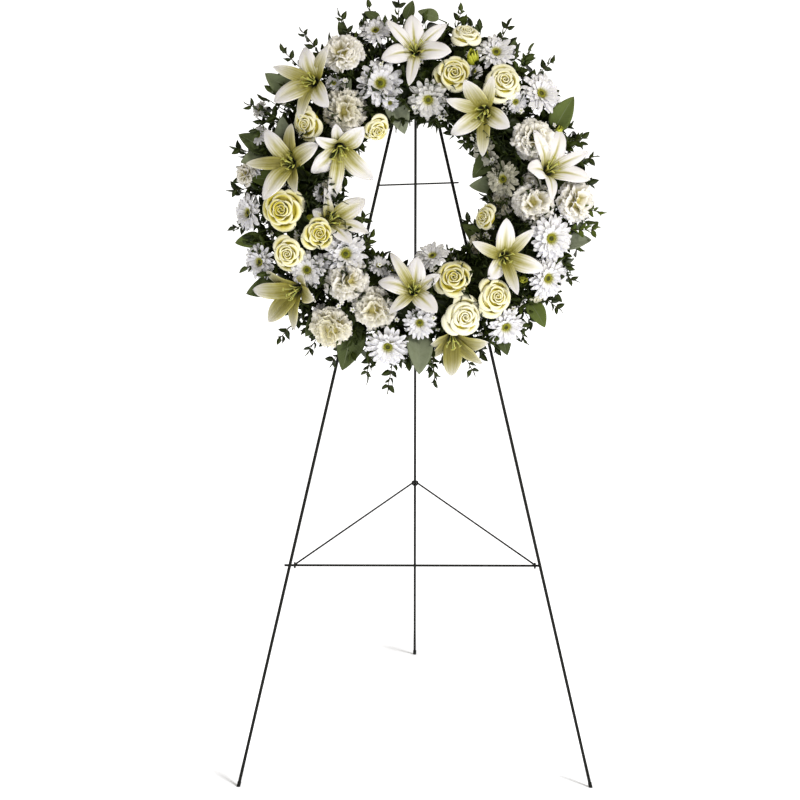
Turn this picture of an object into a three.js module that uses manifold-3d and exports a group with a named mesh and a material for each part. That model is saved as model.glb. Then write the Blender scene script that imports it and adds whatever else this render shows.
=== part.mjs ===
// A funeral wreath of white lilies, roses, carnations and daisy mums on a folding wire easel.
// Millimetres, +Z up. The wreath faces -Y, and the easel stands on Z = 0.
import * as THREE from "three";
import { mergeVertices } from "three/addons/utils/BufferGeometryUtils.js";
import Module from "manifold-3d";

const wasm = await Module();
wasm.setup();

// ---- Driving dimensions ----
const GAP = 0.3; // between two pieces that touch
const LEG_LENGTH = 1372; // a 54-inch easel: every leg is this long from its eye to the floor
const FOOT_HALF_SPREAD = 316.5; // from the middle to each front foot
const LEAN = THREE.MathUtils.degToRad(12); // the front frame leans back by this
const FRONT_WIRE = 2.9; // wire radii
const BACK_WIRE = 2.6;
const LOWER_BAR_WIRE = 2.1;
const UPPER_BAR_WIRE = 1.5;
const BRACE_WIRE = 1.7;
const HOOK_WIRE = 2;
const HANGER_WIRE = 1;
const COLLAR_WIRE = 1.6;
const EYE_WIRE = 2.8;
const LOWER_BAR_HEIGHT = 398; // heights along the leaning frame, from the floor
const UPPER_BAR_HEIGHT = 1080;
const WREATH_HEIGHT = 1061;
const HOOK_HEIGHT = 1300;
const KEEPER_HEIGHT = 427; // along the back leg, from the floor
const BAR_OVERHANG = 7; // how far a crossbar runs past a leg
const EYE_RADIUS = 6.2; // from the hinge axis to the middle of an eye's wire
const EYE_PITCH = 6.8; // between neighbouring eyes on the hinge pin
const PIN_RADIUS = 3;
const PIN_HEAD = { radius: 5.2, edge: 1.6, crown: 2 };
const BEAD_RADIUS = 3.5; // the coating gathers in a bead where a leg's end was dipped
const BEAD_LENGTH = 9;
const SADDLE = { halfWidth: 6, depth: 22, lip: 14, lipForward: 3 }; // the wreath hook
const HANGER_HALF_WIDTH = 34; // where the hanger's ends go into the foam
const RING_RADIUS = 190; // the foam ring's centreline: an 18-inch ring
const FOAM_HALF_WIDTH = 37;
const FOAM_DEPTH = 56;
const TRAY_WALL = 2;
const TRAY_DEPTH = 20;
const STEM_RADIUS = 2.2;
const STEM_DEPTH = 14; // from the middle of the foam to a stem's cut end
const NOD = 0.55; // a head faces this share of its stem's lean, so that outer heads look forward

// ---- Places worked out from them ----
const FRAME_LENGTH = Math.sqrt(LEG_LENGTH ** 2 - (FOOT_HALF_SPREAD - EYE_PITCH) ** 2);
const HINGE_HEIGHT = FRAME_LENGTH * Math.cos(LEAN);
const FRONT_RUN = FRAME_LENGTH * Math.sin(LEAN);
const BACK_RUN = Math.sqrt(LEG_LENGTH ** 2 - HINGE_HEIGHT ** 2);
const BACK_ANGLE = Math.atan2(BACK_RUN, HINGE_HEIGHT);
const BAR_BACK = -(FRONT_WIRE + LOWER_BAR_WIRE + GAP); // the lower bar is welded behind the legs
const TRAY_BACK = FRONT_WIRE + GAP;
const FOAM_BACK = TRAY_BACK + TRAY_WALL + GAP;
const FOAM_MIDDLE = FOAM_BACK + FOAM_DEPTH / 2;

const COLOURS = {
  wire: { color: 0x1f211b, roughness: 0.45, metalness: 0.6 },
  tray: { color: 0x24452b, roughness: 0.5, metalness: 0 },
  foam: { color: 0x3f6b3a, roughness: 0.95, metalness: 0 },
  white: { color: 0xf4f4ee, roughness: 0.6, metalness: 0 },
  cream: { color: 0xeef0c8, roughness: 0.6, metalness: 0 },
  bud: { color: 0xb4b84a, roughness: 0.6, metalness: 0 },
  leaf: { color: 0x41583a, roughness: 0.6, metalness: 0 },
};

const wreathStand = new THREE.Group();

// ---- Helpers ----
const vec = (x, y, z) => new THREE.Vector3(x, y, z);

function solid(geometry) {
  const bare = geometry.clone();
  bare.deleteAttribute("normal");
  bare.deleteAttribute("uv");
  const merged = mergeVertices(bare, 1e-4);
  return new wasm.Manifold(
    new wasm.Mesh({
      numProp: 3,
      vertProperties: merged.attributes.position.array,
      triVerts: new Uint32Array(merged.index.array),
    }),
  );
}

function geometryOf(shape) {
  const mesh = shape.getMesh();
  const geometry = new THREE.BufferGeometry();
  geometry.setAttribute("position", new THREE.BufferAttribute(mesh.vertProperties, 3));
  geometry.setIndex(new THREE.BufferAttribute(mesh.triVerts, 1));
  geometry.computeVertexNormals();
  return geometry;
}

const join = (first, ...rest) =>
  geometryOf(rest.reduce((whole, next) => whole.add(solid(next)), solid(first)));

function cut(geometry, cutters) {
  return geometryOf(cutters.reduce((left, next) => left.subtract(solid(next)), solid(geometry)));
}

function addPiece(parent, name, geometry, finish) {
  const mesh = new THREE.Mesh(geometry, new THREE.MeshStandardMaterial(COLOURS[finish]));
  mesh.name = name;
  parent.add(mesh);
  return mesh;
}

// A wire's middle line: straight runs between points, each step of the sweep at one point.
class BentWire extends THREE.Curve {
  constructor(points) {
    super();
    this.points = points;
  }
  getPoint(t) {
    const at = t * (this.points.length - 1);
    const i = Math.min(Math.floor(at), this.points.length - 2);
    return this.points[i].clone().lerp(this.points[i + 1], at - i);
  }
  getPointAt(u) {
    return this.getPoint(u);
  }
  getTangentAt(u) {
    const i = Math.round(u * (this.points.length - 1));
    const before = this.points[Math.max(i - 1, 0)];
    const here = this.points[i];
    const after = this.points[Math.min(i + 1, this.points.length - 1)];
    const into = here.clone().sub(before).normalize();
    const out = after.clone().sub(here).normalize();
    return into.add(out).normalize();
  }
}

// Rounds each corner of a path of points with an arc-like bend.
function bend(corners, radius, steps = 4) {
  const points = [corners[0]];
  for (let i = 1; i < corners.length - 1; i++) {
    const back = corners[i - 1].clone().sub(corners[i]).setLength(radius).add(corners[i]);
    const on = corners[i + 1].clone().sub(corners[i]).setLength(radius).add(corners[i]);
    points.push(...new THREE.QuadraticBezierCurve3(back, corners[i], on).getPoints(steps));
  }
  points.push(corners.at(-1));
  return points;
}

function wire(points, radius, sides = 8) {
  const circle = new THREE.Path().absarc(0, 0, radius, 0, 2 * Math.PI);
  const section = new THREE.Shape(circle.getPoints(sides / 2));
  const path = new BentWire(points);
  return new THREE.ExtrudeGeometry(section, { extrudePath: path, steps: points.length - 1 });
}

// A ring of wire whose axis is X.
function eye(ringRadius, wireRadius, at, around = 16, sides = 8) {
  const profile = [];
  for (let i = 0; i <= sides; i++) {
    const a = (-2 * Math.PI * i) / sides;
    profile.push(new THREE.Vector2(ringRadius - wireRadius * Math.cos(a), wireRadius * Math.sin(a)));
  }
  const ring = new THREE.LatheGeometry(profile, around);
  return ring.rotateZ(Math.PI / 2).translate(at.x, at.y, at.z);
}

// ---- The easel ----
// The front frame's own axes: x to the right, y up the leaning frame, z out to the front.
const frontFrame = new THREE.Group();
frontFrame.position.set(0, -(FRONT_RUN + BACK_RUN) / 2, 0);
frontFrame.rotation.x = Math.PI / 2 - LEAN;
wreathStand.add(frontFrame);

// The back leg's own axes: x to the right, y up the leg to the hinge, z towards the front frame.
const backFrame = new THREE.Group();
backFrame.position.set(0, (FRONT_RUN + BACK_RUN) / 2, 0);
backFrame.rotation.x = Math.PI / 2 + BACK_ANGLE;
wreathStand.add(backFrame);

const legX = (height) => THREE.MathUtils.lerp(FOOT_HALF_SPREAD, EYE_PITCH, height / FRAME_LENGTH);

// A wire leg from the floor, where its end stands flat, up to its eye, which turns on the hinge pin.
function leg(parent, foot, hinge, radius) {
  const along = hinge.clone().sub(foot).normalize();
  const start = foot.clone().addScaledVector(along, -2 * radius);
  const end = hinge.clone().addScaledVector(along, -EYE_RADIUS);
  const beadTop = foot.clone().addScaledVector(along, BEAD_LENGTH);
  const bead = wire([start, beadTop], BEAD_RADIUS, 10);
  const floor = new THREE.BoxGeometry(40, 40, 40).translate(foot.x, parent.position.y, -20);
  parent.updateMatrixWorld(true);
  floor.applyMatrix4(parent.matrixWorld.clone().invert());
  const whole = join(wire([start, end], radius, 10), bead, eye(EYE_RADIUS, EYE_WIRE, hinge));
  return cut(whole, [floor]);
}

function addEasel() {
  const hinge = vec(0, FRAME_LENGTH, 0);
  const sides = [
    ["left", -1],
    ["right", 1],
  ];
  for (const [side, sign] of sides) {
    const foot = vec(sign * FOOT_HALF_SPREAD, 0, 0);
    const top = vec(sign * EYE_PITCH, FRAME_LENGTH, 0);
    addPiece(frontFrame, `front_leg_${side}`, leg(frontFrame, foot, top, FRONT_WIRE), "wire");
  }
  const backLeg = leg(backFrame, vec(0, 0, 0), vec(0, LEG_LENGTH, 0), BACK_WIRE);
  addPiece(backFrame, "back_leg", backLeg, "wire");

  // Headed at both ends, through the three eyes.
  const half = EYE_PITCH + EYE_WIRE + GAP;
  const { radius, edge, crown } = PIN_HEAD;
  const pinProfile = [
    [0, -half - crown],
    [radius, -half - edge],
    [radius, -half],
    [PIN_RADIUS, -half],
    [PIN_RADIUS, half],
    [radius, half],
    [radius, half + edge],
    [0, half + crown],
  ];
  const pin = new THREE.LatheGeometry(pinProfile.map(([r, y]) => new THREE.Vector2(r, y)), 16);
  addPiece(frontFrame, "hinge_pin", pin.rotateZ(Math.PI / 2).translate(0, hinge.y, 0), "wire");

  const lowerLeft = vec(-legX(LOWER_BAR_HEIGHT) - BAR_OVERHANG - FRONT_WIRE, LOWER_BAR_HEIGHT, BAR_BACK);
  const lowerRight = vec(legX(LOWER_BAR_HEIGHT) + FRONT_WIRE, LOWER_BAR_HEIGHT, BAR_BACK);
  addPiece(frontFrame, "lower_crossbar", wire([lowerLeft, lowerRight], LOWER_BAR_WIRE), "wire");

  // The short upper bar is welded to the front of the legs, a little out of level.
  const upperFront = FRONT_WIRE + UPPER_BAR_WIRE + GAP;
  const upperLeft = vec(-legX(UPPER_BAR_HEIGHT) - FRONT_WIRE, UPPER_BAR_HEIGHT - 2, upperFront);
  const upperRight = vec(legX(UPPER_BAR_HEIGHT) + BAR_OVERHANG + 4, UPPER_BAR_HEIGHT + 3, upperFront);
  addPiece(frontFrame, "upper_crossbar", wire([upperLeft, upperRight], UPPER_BAR_WIRE), "wire");
}

// A collar on the back leg, which the brace's notch stands on.
function addBraceKeeper() {
  const collar = eye(BACK_WIRE + GAP + COLLAR_WIRE, COLLAR_WIRE, vec(0, 0, 0)).rotateZ(Math.PI / 2);
  addPiece(backFrame, "brace_keeper", collar.translate(0, KEEPER_HEIGHT, 0), "wire");
}

// The V brace: an eye round the lower crossbar at each end, and a notch that holds the back leg.
function addBrace() {
  const reachAlongLeg = LEG_LENGTH - KEEPER_HEIGHT - COLLAR_WIRE - BRACE_WIRE - 4 * GAP;
  const spread = LEAN + BACK_ANGLE;
  const legPoint = vec(
    0,
    FRAME_LENGTH - reachAlongLeg * Math.cos(spread),
    -reachAlongLeg * Math.sin(spread),
  );
  const pivot = vec(0, LOWER_BAR_HEIGHT, BAR_BACK);
  const outward = legPoint.clone().sub(pivot);
  const reach = outward.length();
  outward.normalize();
  const notchHalf = BACK_WIRE + BRACE_WIRE + 0.7;
  const notchBack = reach + BACK_WIRE + GAP + BRACE_WIRE + 0.4;
  const eyeX = legX(LOWER_BAR_HEIGHT) - FRONT_WIRE - 6;
  const eyeRing = LOWER_BAR_WIRE + GAP + BRACE_WIRE + 0.2;
  const at = (x, along) => outward.clone().multiplyScalar(along).add(pivot).setX(x);
  const corners = [
    at(-eyeX, eyeRing),
    at(-notchHalf, reach - 6),
    at(-notchHalf, notchBack),
    at(notchHalf, notchBack),
    at(notchHalf, reach - 6),
    at(eyeX, eyeRing),
  ];
  const body = wire(bend(corners, notchHalf * 0.6, 3), BRACE_WIRE);
  const ends = [-eyeX, eyeX].map((x) => eye(eyeRing, BRACE_WIRE, pivot.clone().setX(x), 12));
  addPiece(frontFrame, "brace", join(body, ...ends), "wire");
}

// A saddle of wire welded across the two front legs: it turns up at the front to keep the hanger on.
function addWreathHook() {
  const weldX = legX(HOOK_HEIGHT) + FRONT_WIRE + 2;
  const back = FRONT_WIRE + HOOK_WIRE + GAP;
  const front = back + SADDLE.depth;
  const half = SADDLE.halfWidth;
  const lip = vec(half, HOOK_HEIGHT + SADDLE.lip, front + SADDLE.lipForward);
  const corners = [
    vec(-weldX, HOOK_HEIGHT, back),
    vec(-half, HOOK_HEIGHT, back),
    vec(-half, HOOK_HEIGHT, front),
    lip.clone().setX(-half),
    lip,
    vec(half, HOOK_HEIGHT, front),
    vec(half, HOOK_HEIGHT, back),
    vec(weldX, HOOK_HEIGHT, back),
  ];
  addPiece(frontFrame, "wreath_hook", wire(bend(corners, 4, 3), HOOK_WIRE), "wire");
}

// ---- The wreath ----
// Its axes are the frame's, from the middle of the ring: z = 0 is the plane of the front legs.
const wreath = new THREE.Group();
wreath.position.set(0, WREATH_HEIGHT, 0);
frontFrame.add(wreath);

const ringDirection = (clock) => {
  const a = THREE.MathUtils.degToRad(clock);
  return vec(Math.cos(a), Math.sin(a), 0);
};

// Leans from straight out of the ring's front (0) to straight out of its edge (90).
function leaning(clock, lean) {
  const a = THREE.MathUtils.degToRad(lean);
  return ringDirection(clock).multiplyScalar(Math.sin(a)).add(vec(0, 0, Math.cos(a)));
}

// A loop of thin wire from the tray's rim over the hook.
function hangerPath() {
  const restY = HOOK_HEIGHT - WREATH_HEIGHT + HOOK_WIRE + GAP + HANGER_WIRE + 0.2;
  const restZ = FRONT_WIRE + HOOK_WIRE + GAP + SADDLE.depth / 2;
  const foam = RING_RADIUS + FOAM_HALF_WIDTH;
  const end = (x) => vec(x, Math.sqrt(foam ** 2 - x ** 2) - 12, restZ);
  const rim = (x) => vec(x * 0.98, Math.sqrt(foam ** 2 - x ** 2) + 7, restZ);
  const half = HANGER_HALF_WIDTH;
  const top = (x) => vec(x, restY, restZ);
  return bend([end(-half), rim(-half), top(-11), top(11), rim(half), end(half)], 4, 2);
}

const profileRing = (points, around) =>
  new THREE.LatheGeometry([...points, points[0]].map(([r, y]) => new THREE.Vector2(r, y)), around)
    .rotateX(Math.PI / 2);

function addWreathBase(stems) {
  const inner = RING_RADIUS - FOAM_HALF_WIDTH;
  const outer = RING_RADIUS + FOAM_HALF_WIDTH;
  const slack = GAP + 0.7;
  const deep = TRAY_BACK + TRAY_DEPTH;
  // Profiles run anticlockwise about the ring's section: radius, then height from the frame.
  const trayProfile = [
    [inner - slack - TRAY_WALL, TRAY_BACK],
    [outer + slack + TRAY_WALL, TRAY_BACK],
    [outer + slack + TRAY_WALL, deep],
    [outer + slack, deep],
    [outer + slack, TRAY_BACK + TRAY_WALL],
    [inner - slack, TRAY_BACK + TRAY_WALL],
    [inner - slack, deep],
    [inner - slack - TRAY_WALL, deep],
  ];
  const shoulder = FOAM_BACK + FOAM_DEPTH * 0.6;
  const top = FOAM_BACK + FOAM_DEPTH;
  const foamProfile = [
    [inner, FOAM_BACK],
    [outer, FOAM_BACK],
    [outer, shoulder],
    [outer - FOAM_HALF_WIDTH * 0.3, top - FOAM_DEPTH * 0.1],
    [RING_RADIUS + FOAM_HALF_WIDTH * 0.3, top],
    [RING_RADIUS - FOAM_HALF_WIDTH * 0.3, top],
    [inner + FOAM_HALF_WIDTH * 0.3, top - FOAM_DEPTH * 0.1],
    [inner, shoulder],
  ];
  const hanger = hangerPath();
  const hangerRoom = wire(hanger, HANGER_WIRE + GAP + 0.1, 6);
  addPiece(wreath, "foam_tray", cut(profileRing(trayProfile, 36), [hangerRoom]), "tray");
  const stemRoom = stems.map((points) => wire(points, STEM_RADIUS + GAP + 0.2, 6));
  addPiece(wreath, "foam_ring", cut(profileRing(foamProfile, 36), [hangerRoom, ...stemRoom]), "foam");
  addPiece(wreath, "hanger_wire", wire(hanger, HANGER_WIRE, 6), "wire");
}

// ---- Flower heads, each on the Y axis with its face at the top ----
// A turned shape whose radius swells and shrinks round the head, as the petals' tips do.
function turnedHead(profile, sides, ripple) {
  const head = new THREE.LatheGeometry(profile.map(([r, y]) => new THREE.Vector2(r, y)), sides);
  const at = head.attributes.position;
  for (let i = 0; i < at.count; i++) {
    const r = Math.hypot(at.getX(i), at.getZ(i));
    const k = ripple(r, Math.atan2(at.getZ(i), at.getX(i)), at.getY(i));
    at.setXYZ(i, at.getX(i) * k, at.getY(i), at.getZ(i) * k);
  }
  return head;
}

// Six pointed petals opening from a slim throat, which starts at the stem.
function lilyHead() {
  const profile = [
    [0, -2],
    [4, -1],
    [7, 20],
    [20, 38],
    [58, 43],
    [40, 47],
    [20, 42],
    [7, 28],
    [0, 27],
  ];
  const between = (r, a) => (r < 10 ? 1 : THREE.MathUtils.lerp(1, 14 / r, (1 - Math.cos(6 * a)) / 2));
  return turnedHead(profile, 12, between);
}

// A deep cup of wrapped petals.
function roseHead() {
  const profile = [
    [0, -22],
    [8, -21],
    [22, -14],
    [31, 0],
    [32, 9],
    [27, 11],
    [21, 15],
    [9, 17],
    [0, 14],
  ];
  return turnedHead(profile, 10, (r, a) => 1 + (r > 20 ? 0.04 * Math.cos(5 * a) : 0));
}

// A dome of ruffled petals over a tube-shaped calyx.
function carnationHead() {
  const profile = [
    [0, -30],
    [6, -29],
    [7, -12],
    [22, -7],
    [31, 3],
    [27, 12],
    [14, 17],
    [0, 18],
  ];
  return turnedHead(profile, 14, (r, a) => 1 + (r > 10 ? 0.06 * Math.cos(7 * a) : 0));
}

// A flat daisy of blunt petals round a raised eye.
function mumHead() {
  const profile = [
    [0, -10],
    [5, -9.5],
    [10, -4],
    [33, 0],
    [33, 2],
    [12, 3],
    [8, 6],
    [0, 7],
  ];
  return turnedHead(profile, 16, (r, a) => 1 + (r > 20 ? 0.09 * Math.cos(8 * a) : 0));
}

// A closed bud.
function budHead() {
  const profile = [
    [0, -20],
    [4, -18],
    [7.5, -6],
    [7, 6],
    [3, 17],
    [0, 20],
  ];
  return turnedHead(profile, 9, () => 1);
}

// A broad leaf that arches back from the head's axis.
function leafHead() {
  const length = 84;
  const half = 24;
  const outline = new THREE.Shape();
  outline.moveTo(-3, 0);
  outline.bezierCurveTo(-half * 1.1, length * 0.25, -half, length * 0.7, 0, length);
  outline.bezierCurveTo(half, length * 0.7, half * 1.1, length * 0.25, 3, 0);
  const blade = new THREE.ExtrudeGeometry(outline, { depth: 1.6, bevelEnabled: false, curveSegments: 5 });
  const at = blade.attributes.position;
  for (let i = 0; i < at.count; i++) {
    at.setZ(i, at.getZ(i) - 0.8 - at.getY(i) ** 2 / 500 + Math.abs(at.getX(i)) * 0.15);
  }
  return blade;
}

const KINDS = {
  lily: { head: lilyHead, base: 0, finish: "white" },
  rose: { head: roseHead, base: 20, finish: "cream" },
  carnation: { head: carnationHead, base: 28, finish: "white" },
  mum: { head: mumHead, base: 8, finish: "white" },
  bud: { head: budHead, base: 18, finish: "bud" },
  leaf: { head: leafHead, base: -1, finish: "leaf" },
};

// Where each stem goes in: clock is measured anticlockwise from the right of the ring, lean from
// straight forward (0) to straight outward (90), reach from the middle of the foam to the head,
// or on a lily to its throat. tilt and toward turn the head away from its usual face, and petal is
// the way that a petal points, on the same clock.
const FLOWERS = {
  lily: [
    { clock: 132, lean: 57, reach: 77, tilt: 24, toward: 170, petal: 97 },
    { clock: 90, lean: 50, reach: 65, tilt: 14, toward: 100, petal: 83 },
    { clock: 167, lean: 28, reach: 53, tilt: 22, toward: 175, petal: 121 },
    { clock: 147, lean: -29, reach: 63, tilt: 36, toward: 280, petal: 86 },
    { clock: 50, lean: 0, reach: 54, tilt: 20, toward: 250, petal: 100 },
    { clock: 200, lean: -22, reach: 48, tilt: 40, toward: 30, petal: 110 },
    { clock: 8, lean: 37, reach: 58, tilt: 30, toward: 35, petal: 81 },
    { clock: 324, lean: -2, reach: 55, tilt: 12, toward: 300, petal: 94 },
    { clock: 269, lean: -13, reach: 56, tilt: 14, toward: 80, petal: 66 },
    { clock: 220, lean: 55, reach: 78, tilt: 46, toward: 215, petal: 174 },
    { clock: 285, lean: 56, reach: 69, tilt: 52, toward: 275, petal: 210 },
  ],
  rose: [
    { clock: 72, lean: 18, reach: 74 },
    { clock: 51, lean: 38, reach: 85 },
    { clock: 188, lean: 30, reach: 82 },
    { clock: 211, lean: -4, reach: 78 },
    { clock: 206, lean: 38, reach: 89 },
    { clock: 294, lean: -18, reach: 75 },
    { clock: 309, lean: 27, reach: 79 },
    { clock: 291, lean: 31, reach: 84 },
    { clock: 148, lean: 23, reach: 77 },
  ],
  carnation: [
    { clock: 118, lean: 59, reach: 100 },
    { clock: 131, lean: -3, reach: 66 },
    { clock: 24, lean: 28, reach: 75 },
    { clock: 355, lean: 14, reach: 68 },
    { clock: 233, lean: 4, reach: 66 },
    { clock: 251, lean: 22, reach: 71 },
    { clock: 238, lean: 63, reach: 103 },
    { clock: 357, lean: 62, reach: 103 },
  ],
  mum: [
    { clock: 108, lean: 6, reach: 66 },
    { clock: 60, lean: 65, reach: 101 },
    { clock: 38, lean: 60, reach: 101 },
    { clock: 341, lean: 43, reach: 87 },
    { clock: 327, lean: 59, reach: 100 },
    { clock: 304, lean: 64, reach: 104 },
    { clock: 260, lean: 58, reach: 99 },
    { clock: 187, lean: 70, reach: 111 },
    { clock: 104, lean: 67, reach: 108 },
  ],
  bud: [
    { clock: 67, lean: 48, reach: 84 },
    { clock: 23, lean: 61, reach: 92 },
  ],
  leaf: [
    { clock: 84, lean: 88, reach: 60, tilt: 100 },
    { clock: 141, lean: 88, reach: 60, tilt: 100 },
    { clock: 163, lean: 88, reach: 60, tilt: 100 },
    { clock: 212, lean: 88, reach: 60, tilt: 100 },
    { clock: 315, lean: 88, reach: 60, tilt: 100 },
    { clock: 28, lean: 88, reach: 60, tilt: 100 },
  ],
};

// The turn that takes a head from the Y axis to its face, with its first petal pointing as asked.
function headTurn(face, petal) {
  const first = ringDirection(petal);
  first.setZ(-first.dot(face) / face.z).normalize();
  const basis = new THREE.Matrix4().makeBasis(first, face, first.clone().cross(face));
  return new THREE.Quaternion().setFromRotationMatrix(basis);
}

// Adds every flower, and returns the stems' paths so that the foam gets a hole for each.
function addFlowers() {
  const stems = [];
  for (const [kind, list] of Object.entries(FLOWERS)) {
    const { head, base, finish } = KINDS[kind];
    list.forEach((flower, i) => {
      const { clock, lean, reach, tilt = lean * NOD, toward = clock, petal } = flower;
      const root = ringDirection(clock).multiplyScalar(RING_RADIUS).setZ(FOAM_MIDDLE);
      const out = leaning(clock, lean);
      const face = leaning(toward, tilt);
      const place = out.clone().multiplyScalar(reach).add(root);
      const neck = face.clone().multiplyScalar(-base).add(place);
      const rise = Math.max(neck.distanceTo(root) * 0.55, FOAM_HALF_WIDTH);
      const stem = [
        out.clone().multiplyScalar(STEM_DEPTH).add(root),
        out.clone().multiplyScalar(rise).add(root),
        neck.clone().addScaledVector(face, 2),
      ];
      const square = new THREE.Quaternion().setFromUnitVectors(vec(0, 1, 0), face);
      const turn = petal === undefined ? square : headTurn(face, petal);
      const shape = head().applyQuaternion(turn).translate(place.x, place.y, place.z);
      addPiece(wreath, `${kind}_${i + 1}`, join(shape, wire(stem, STEM_RADIUS, 6)), finish);
      stems.push(stem);
    });
  }
  return stems;
}

addEasel();
addBraceKeeper();
addBrace();
addWreathHook();
addWreathBase(addFlowers());

export default wreathStand;
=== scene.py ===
"""The looks of a funeral wreath on a wire easel, built around its CAD frame.

Laid out as an add-on and run as a script. The flowers and leaves are modelled in millimetres on
the wreath's own axes (x to the right, y up the leaning frame, z out to the front, from the middle
of the ring) and placed in the frame, in metres, by one matrix.
"""

import math
import random
from typing import NamedTuple

import bpy
import numpy as np
from bpy.props import FloatProperty, FloatVectorProperty, IntProperty, PointerProperty
from mathutils import Matrix, Vector


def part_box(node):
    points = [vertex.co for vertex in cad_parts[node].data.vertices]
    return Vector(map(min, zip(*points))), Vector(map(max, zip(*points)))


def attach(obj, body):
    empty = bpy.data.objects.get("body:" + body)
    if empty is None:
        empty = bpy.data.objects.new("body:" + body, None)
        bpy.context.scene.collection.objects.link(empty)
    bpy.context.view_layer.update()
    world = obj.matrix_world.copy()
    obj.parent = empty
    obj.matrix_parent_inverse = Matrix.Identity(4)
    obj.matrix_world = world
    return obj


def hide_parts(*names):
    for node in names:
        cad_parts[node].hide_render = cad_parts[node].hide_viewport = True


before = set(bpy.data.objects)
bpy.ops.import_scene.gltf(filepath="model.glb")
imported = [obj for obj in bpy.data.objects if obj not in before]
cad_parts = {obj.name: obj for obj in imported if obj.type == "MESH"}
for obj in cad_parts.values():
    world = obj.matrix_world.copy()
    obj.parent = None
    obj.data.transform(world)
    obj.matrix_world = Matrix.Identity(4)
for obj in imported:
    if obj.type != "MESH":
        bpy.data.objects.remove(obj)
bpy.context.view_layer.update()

bl_info = {
    "name": "Funeral wreath",
    "version": (1, 0, 0),
    "blender": (4, 5, 0),
    "location": "3D View > Sidebar > Wreath",
    "description": "Builds the flowers, leaves and finishes of a wreath on a wire easel",
    "category": "Object",
}

MM = 0.001
GOLDEN_ANGLE = math.radians(137.508)
LEAN = math.radians(12)  # the front frame leans back by this
HINGE_TO_WREATH = 275.6  # down the front frame, from the hinge to the middle of the ring
RING_RADIUS = 190
FOAM_MIDDLE = 33.5  # in front of the plane of the front legs
FOAM_HALF_WIDTH = 37
STEM_DEPTH = 14  # from the middle of the foam to a stem's cut end
STEM_RADIUS = 2.2
NOD = 0.55  # a head faces this share of its stem's lean, unless its spot says otherwise

pin_low, pin_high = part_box("hinge_pin")
WREATH = (
    Matrix.Translation((pin_low + pin_high) / 2)
    @ Matrix.Rotation(math.pi / 2 - LEAN, 4, "X")
    @ Matrix.Translation((0, -HINGE_TO_WREATH * MM, 0))
    @ Matrix.Scale(MM, 4)
)


def linear(hex_colour):
    """An sRGB hex colour as linear RGBA."""
    channels = [int(hex_colour[i : i + 2], 16) / 255 for i in (0, 2, 4)]
    return (*[c / 12.92 if c <= 0.04045 else ((c + 0.055) / 1.055) ** 2.4 for c in channels], 1.0)


# ---- Settings ----
def length(name, description, millimetres):
    """A length that a user may change, kept in metres."""
    return FloatProperty(
        name=name, description=description, default=millimetres * MM, subtype="DISTANCE", unit="LENGTH"
    )


def colour(name, description, hex_colour):
    """A colour that a user may change."""
    return FloatVectorProperty(
        name=name, description=description, default=linear(hex_colour), size=4, min=0, max=1, subtype="COLOR"
    )


class LilySettings(bpy.types.PropertyGroup):
    petal_length: length("Petal length", "Along the curve of a petal", 88)
    broad_width: length("Broad petal width", "Across the three inner petals", 34)
    slim_width: length("Slim petal width", "Across the three outer petals", 23)
    petal: colour("Petal", "The open part of a petal", "EBE8E7")
    flush: colour("Flush", "The yellow-green throat and midribs", "827B0A")
    # The throat colour is the green of the nectary grooves, darkened with painted shade of the deep funnel.
    throat: colour("Throat", "The deepest part of the funnel", "171C06")


class RoseSettings(bpy.types.PropertyGroup):
    radius: length("Radius", "From the middle to the outermost rim", 37)
    petals: IntProperty(name="Petals", description="How many petals a rose has", default=18, min=12)
    rim: colour("Rim", "The edge of a petal", "FBF8DC")
    depth: colour("Depth", "Down between the petals", "C2B414")


class CarnationSettings(bpy.types.PropertyGroup):
    radius: length("Radius", "From the middle to the outermost petal", 38)
    petals: IntProperty(name="Petals", description="How many petals a carnation has", default=36, min=12)
    edge: colour("Edge", "The ruffled edge of a petal", "F6F3EE")
    depth: colour("Depth", "Down between the petals", "C3B96F")


class MumSettings(bpy.types.PropertyGroup):
    radius: length("Radius", "From the middle to the tip of a ray", 38)
    ray_width: length("Ray width", "Across a ray petal", 9.4)
    ray: colour("Ray", "The open part of a ray petal", "E9E8EA")
    ring: colour("Ring", "The open florets round the eye", "C2C036")
    eye: colour("Eye", "The closed florets in the middle", "2C330A")


class BudSettings(bpy.types.PropertyGroup):
    length: length("Length", "From the calyx to the tip", 40)
    petal: colour("Petal", "The closed petals", "ADB312")


class FoliageSettings(bpy.types.PropertyGroup):
    leaf_length: length("Leaf length", "Of the broad leaves", 66)
    leaf_width: length("Leaf width", "Across the broad leaves", 38)
    deep: colour("Deep green", "The darkest broad leaves", "1B240B")
    fresh: colour("Fresh green", "The greenest broad leaves", "4F6118")
    grey: colour("Grey green", "The palest broad leaves", "6A7152")
    small: colour("Small leaves", "The leaves on the twigs", "1C260B")
    stem: colour("Stems", "Stems and calyxes", "4C5A1E")
    blossom: colour("Blossom", "The tiny filler blossoms", "ECEAE4")


class EaselSettings(bpy.types.PropertyGroup):
    coat: colour("Coat", "The coated wire", "080905")
    tray: colour("Tray", "The moulded tray", "1D3A1E")
    foam: colour("Foam", "The wet foam", "2C4423")


class StageSettings(bpy.types.PropertyGroup):
    floor: colour("Floor", "The white sweep", "F6F8FF")
    lens: FloatProperty(name="Lens", description="Focal length", default=100, subtype="DISTANCE_CAMERA")
    key: FloatProperty(name="Key light", description="Power of the main lamp", default=97, unit="POWER")
    sweep: FloatProperty(name="Floor light", description="Power of its lamp", default=150, unit="POWER")
    fill: FloatProperty(name="World", description="Strength of the light from all round", default=0.37)


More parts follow.
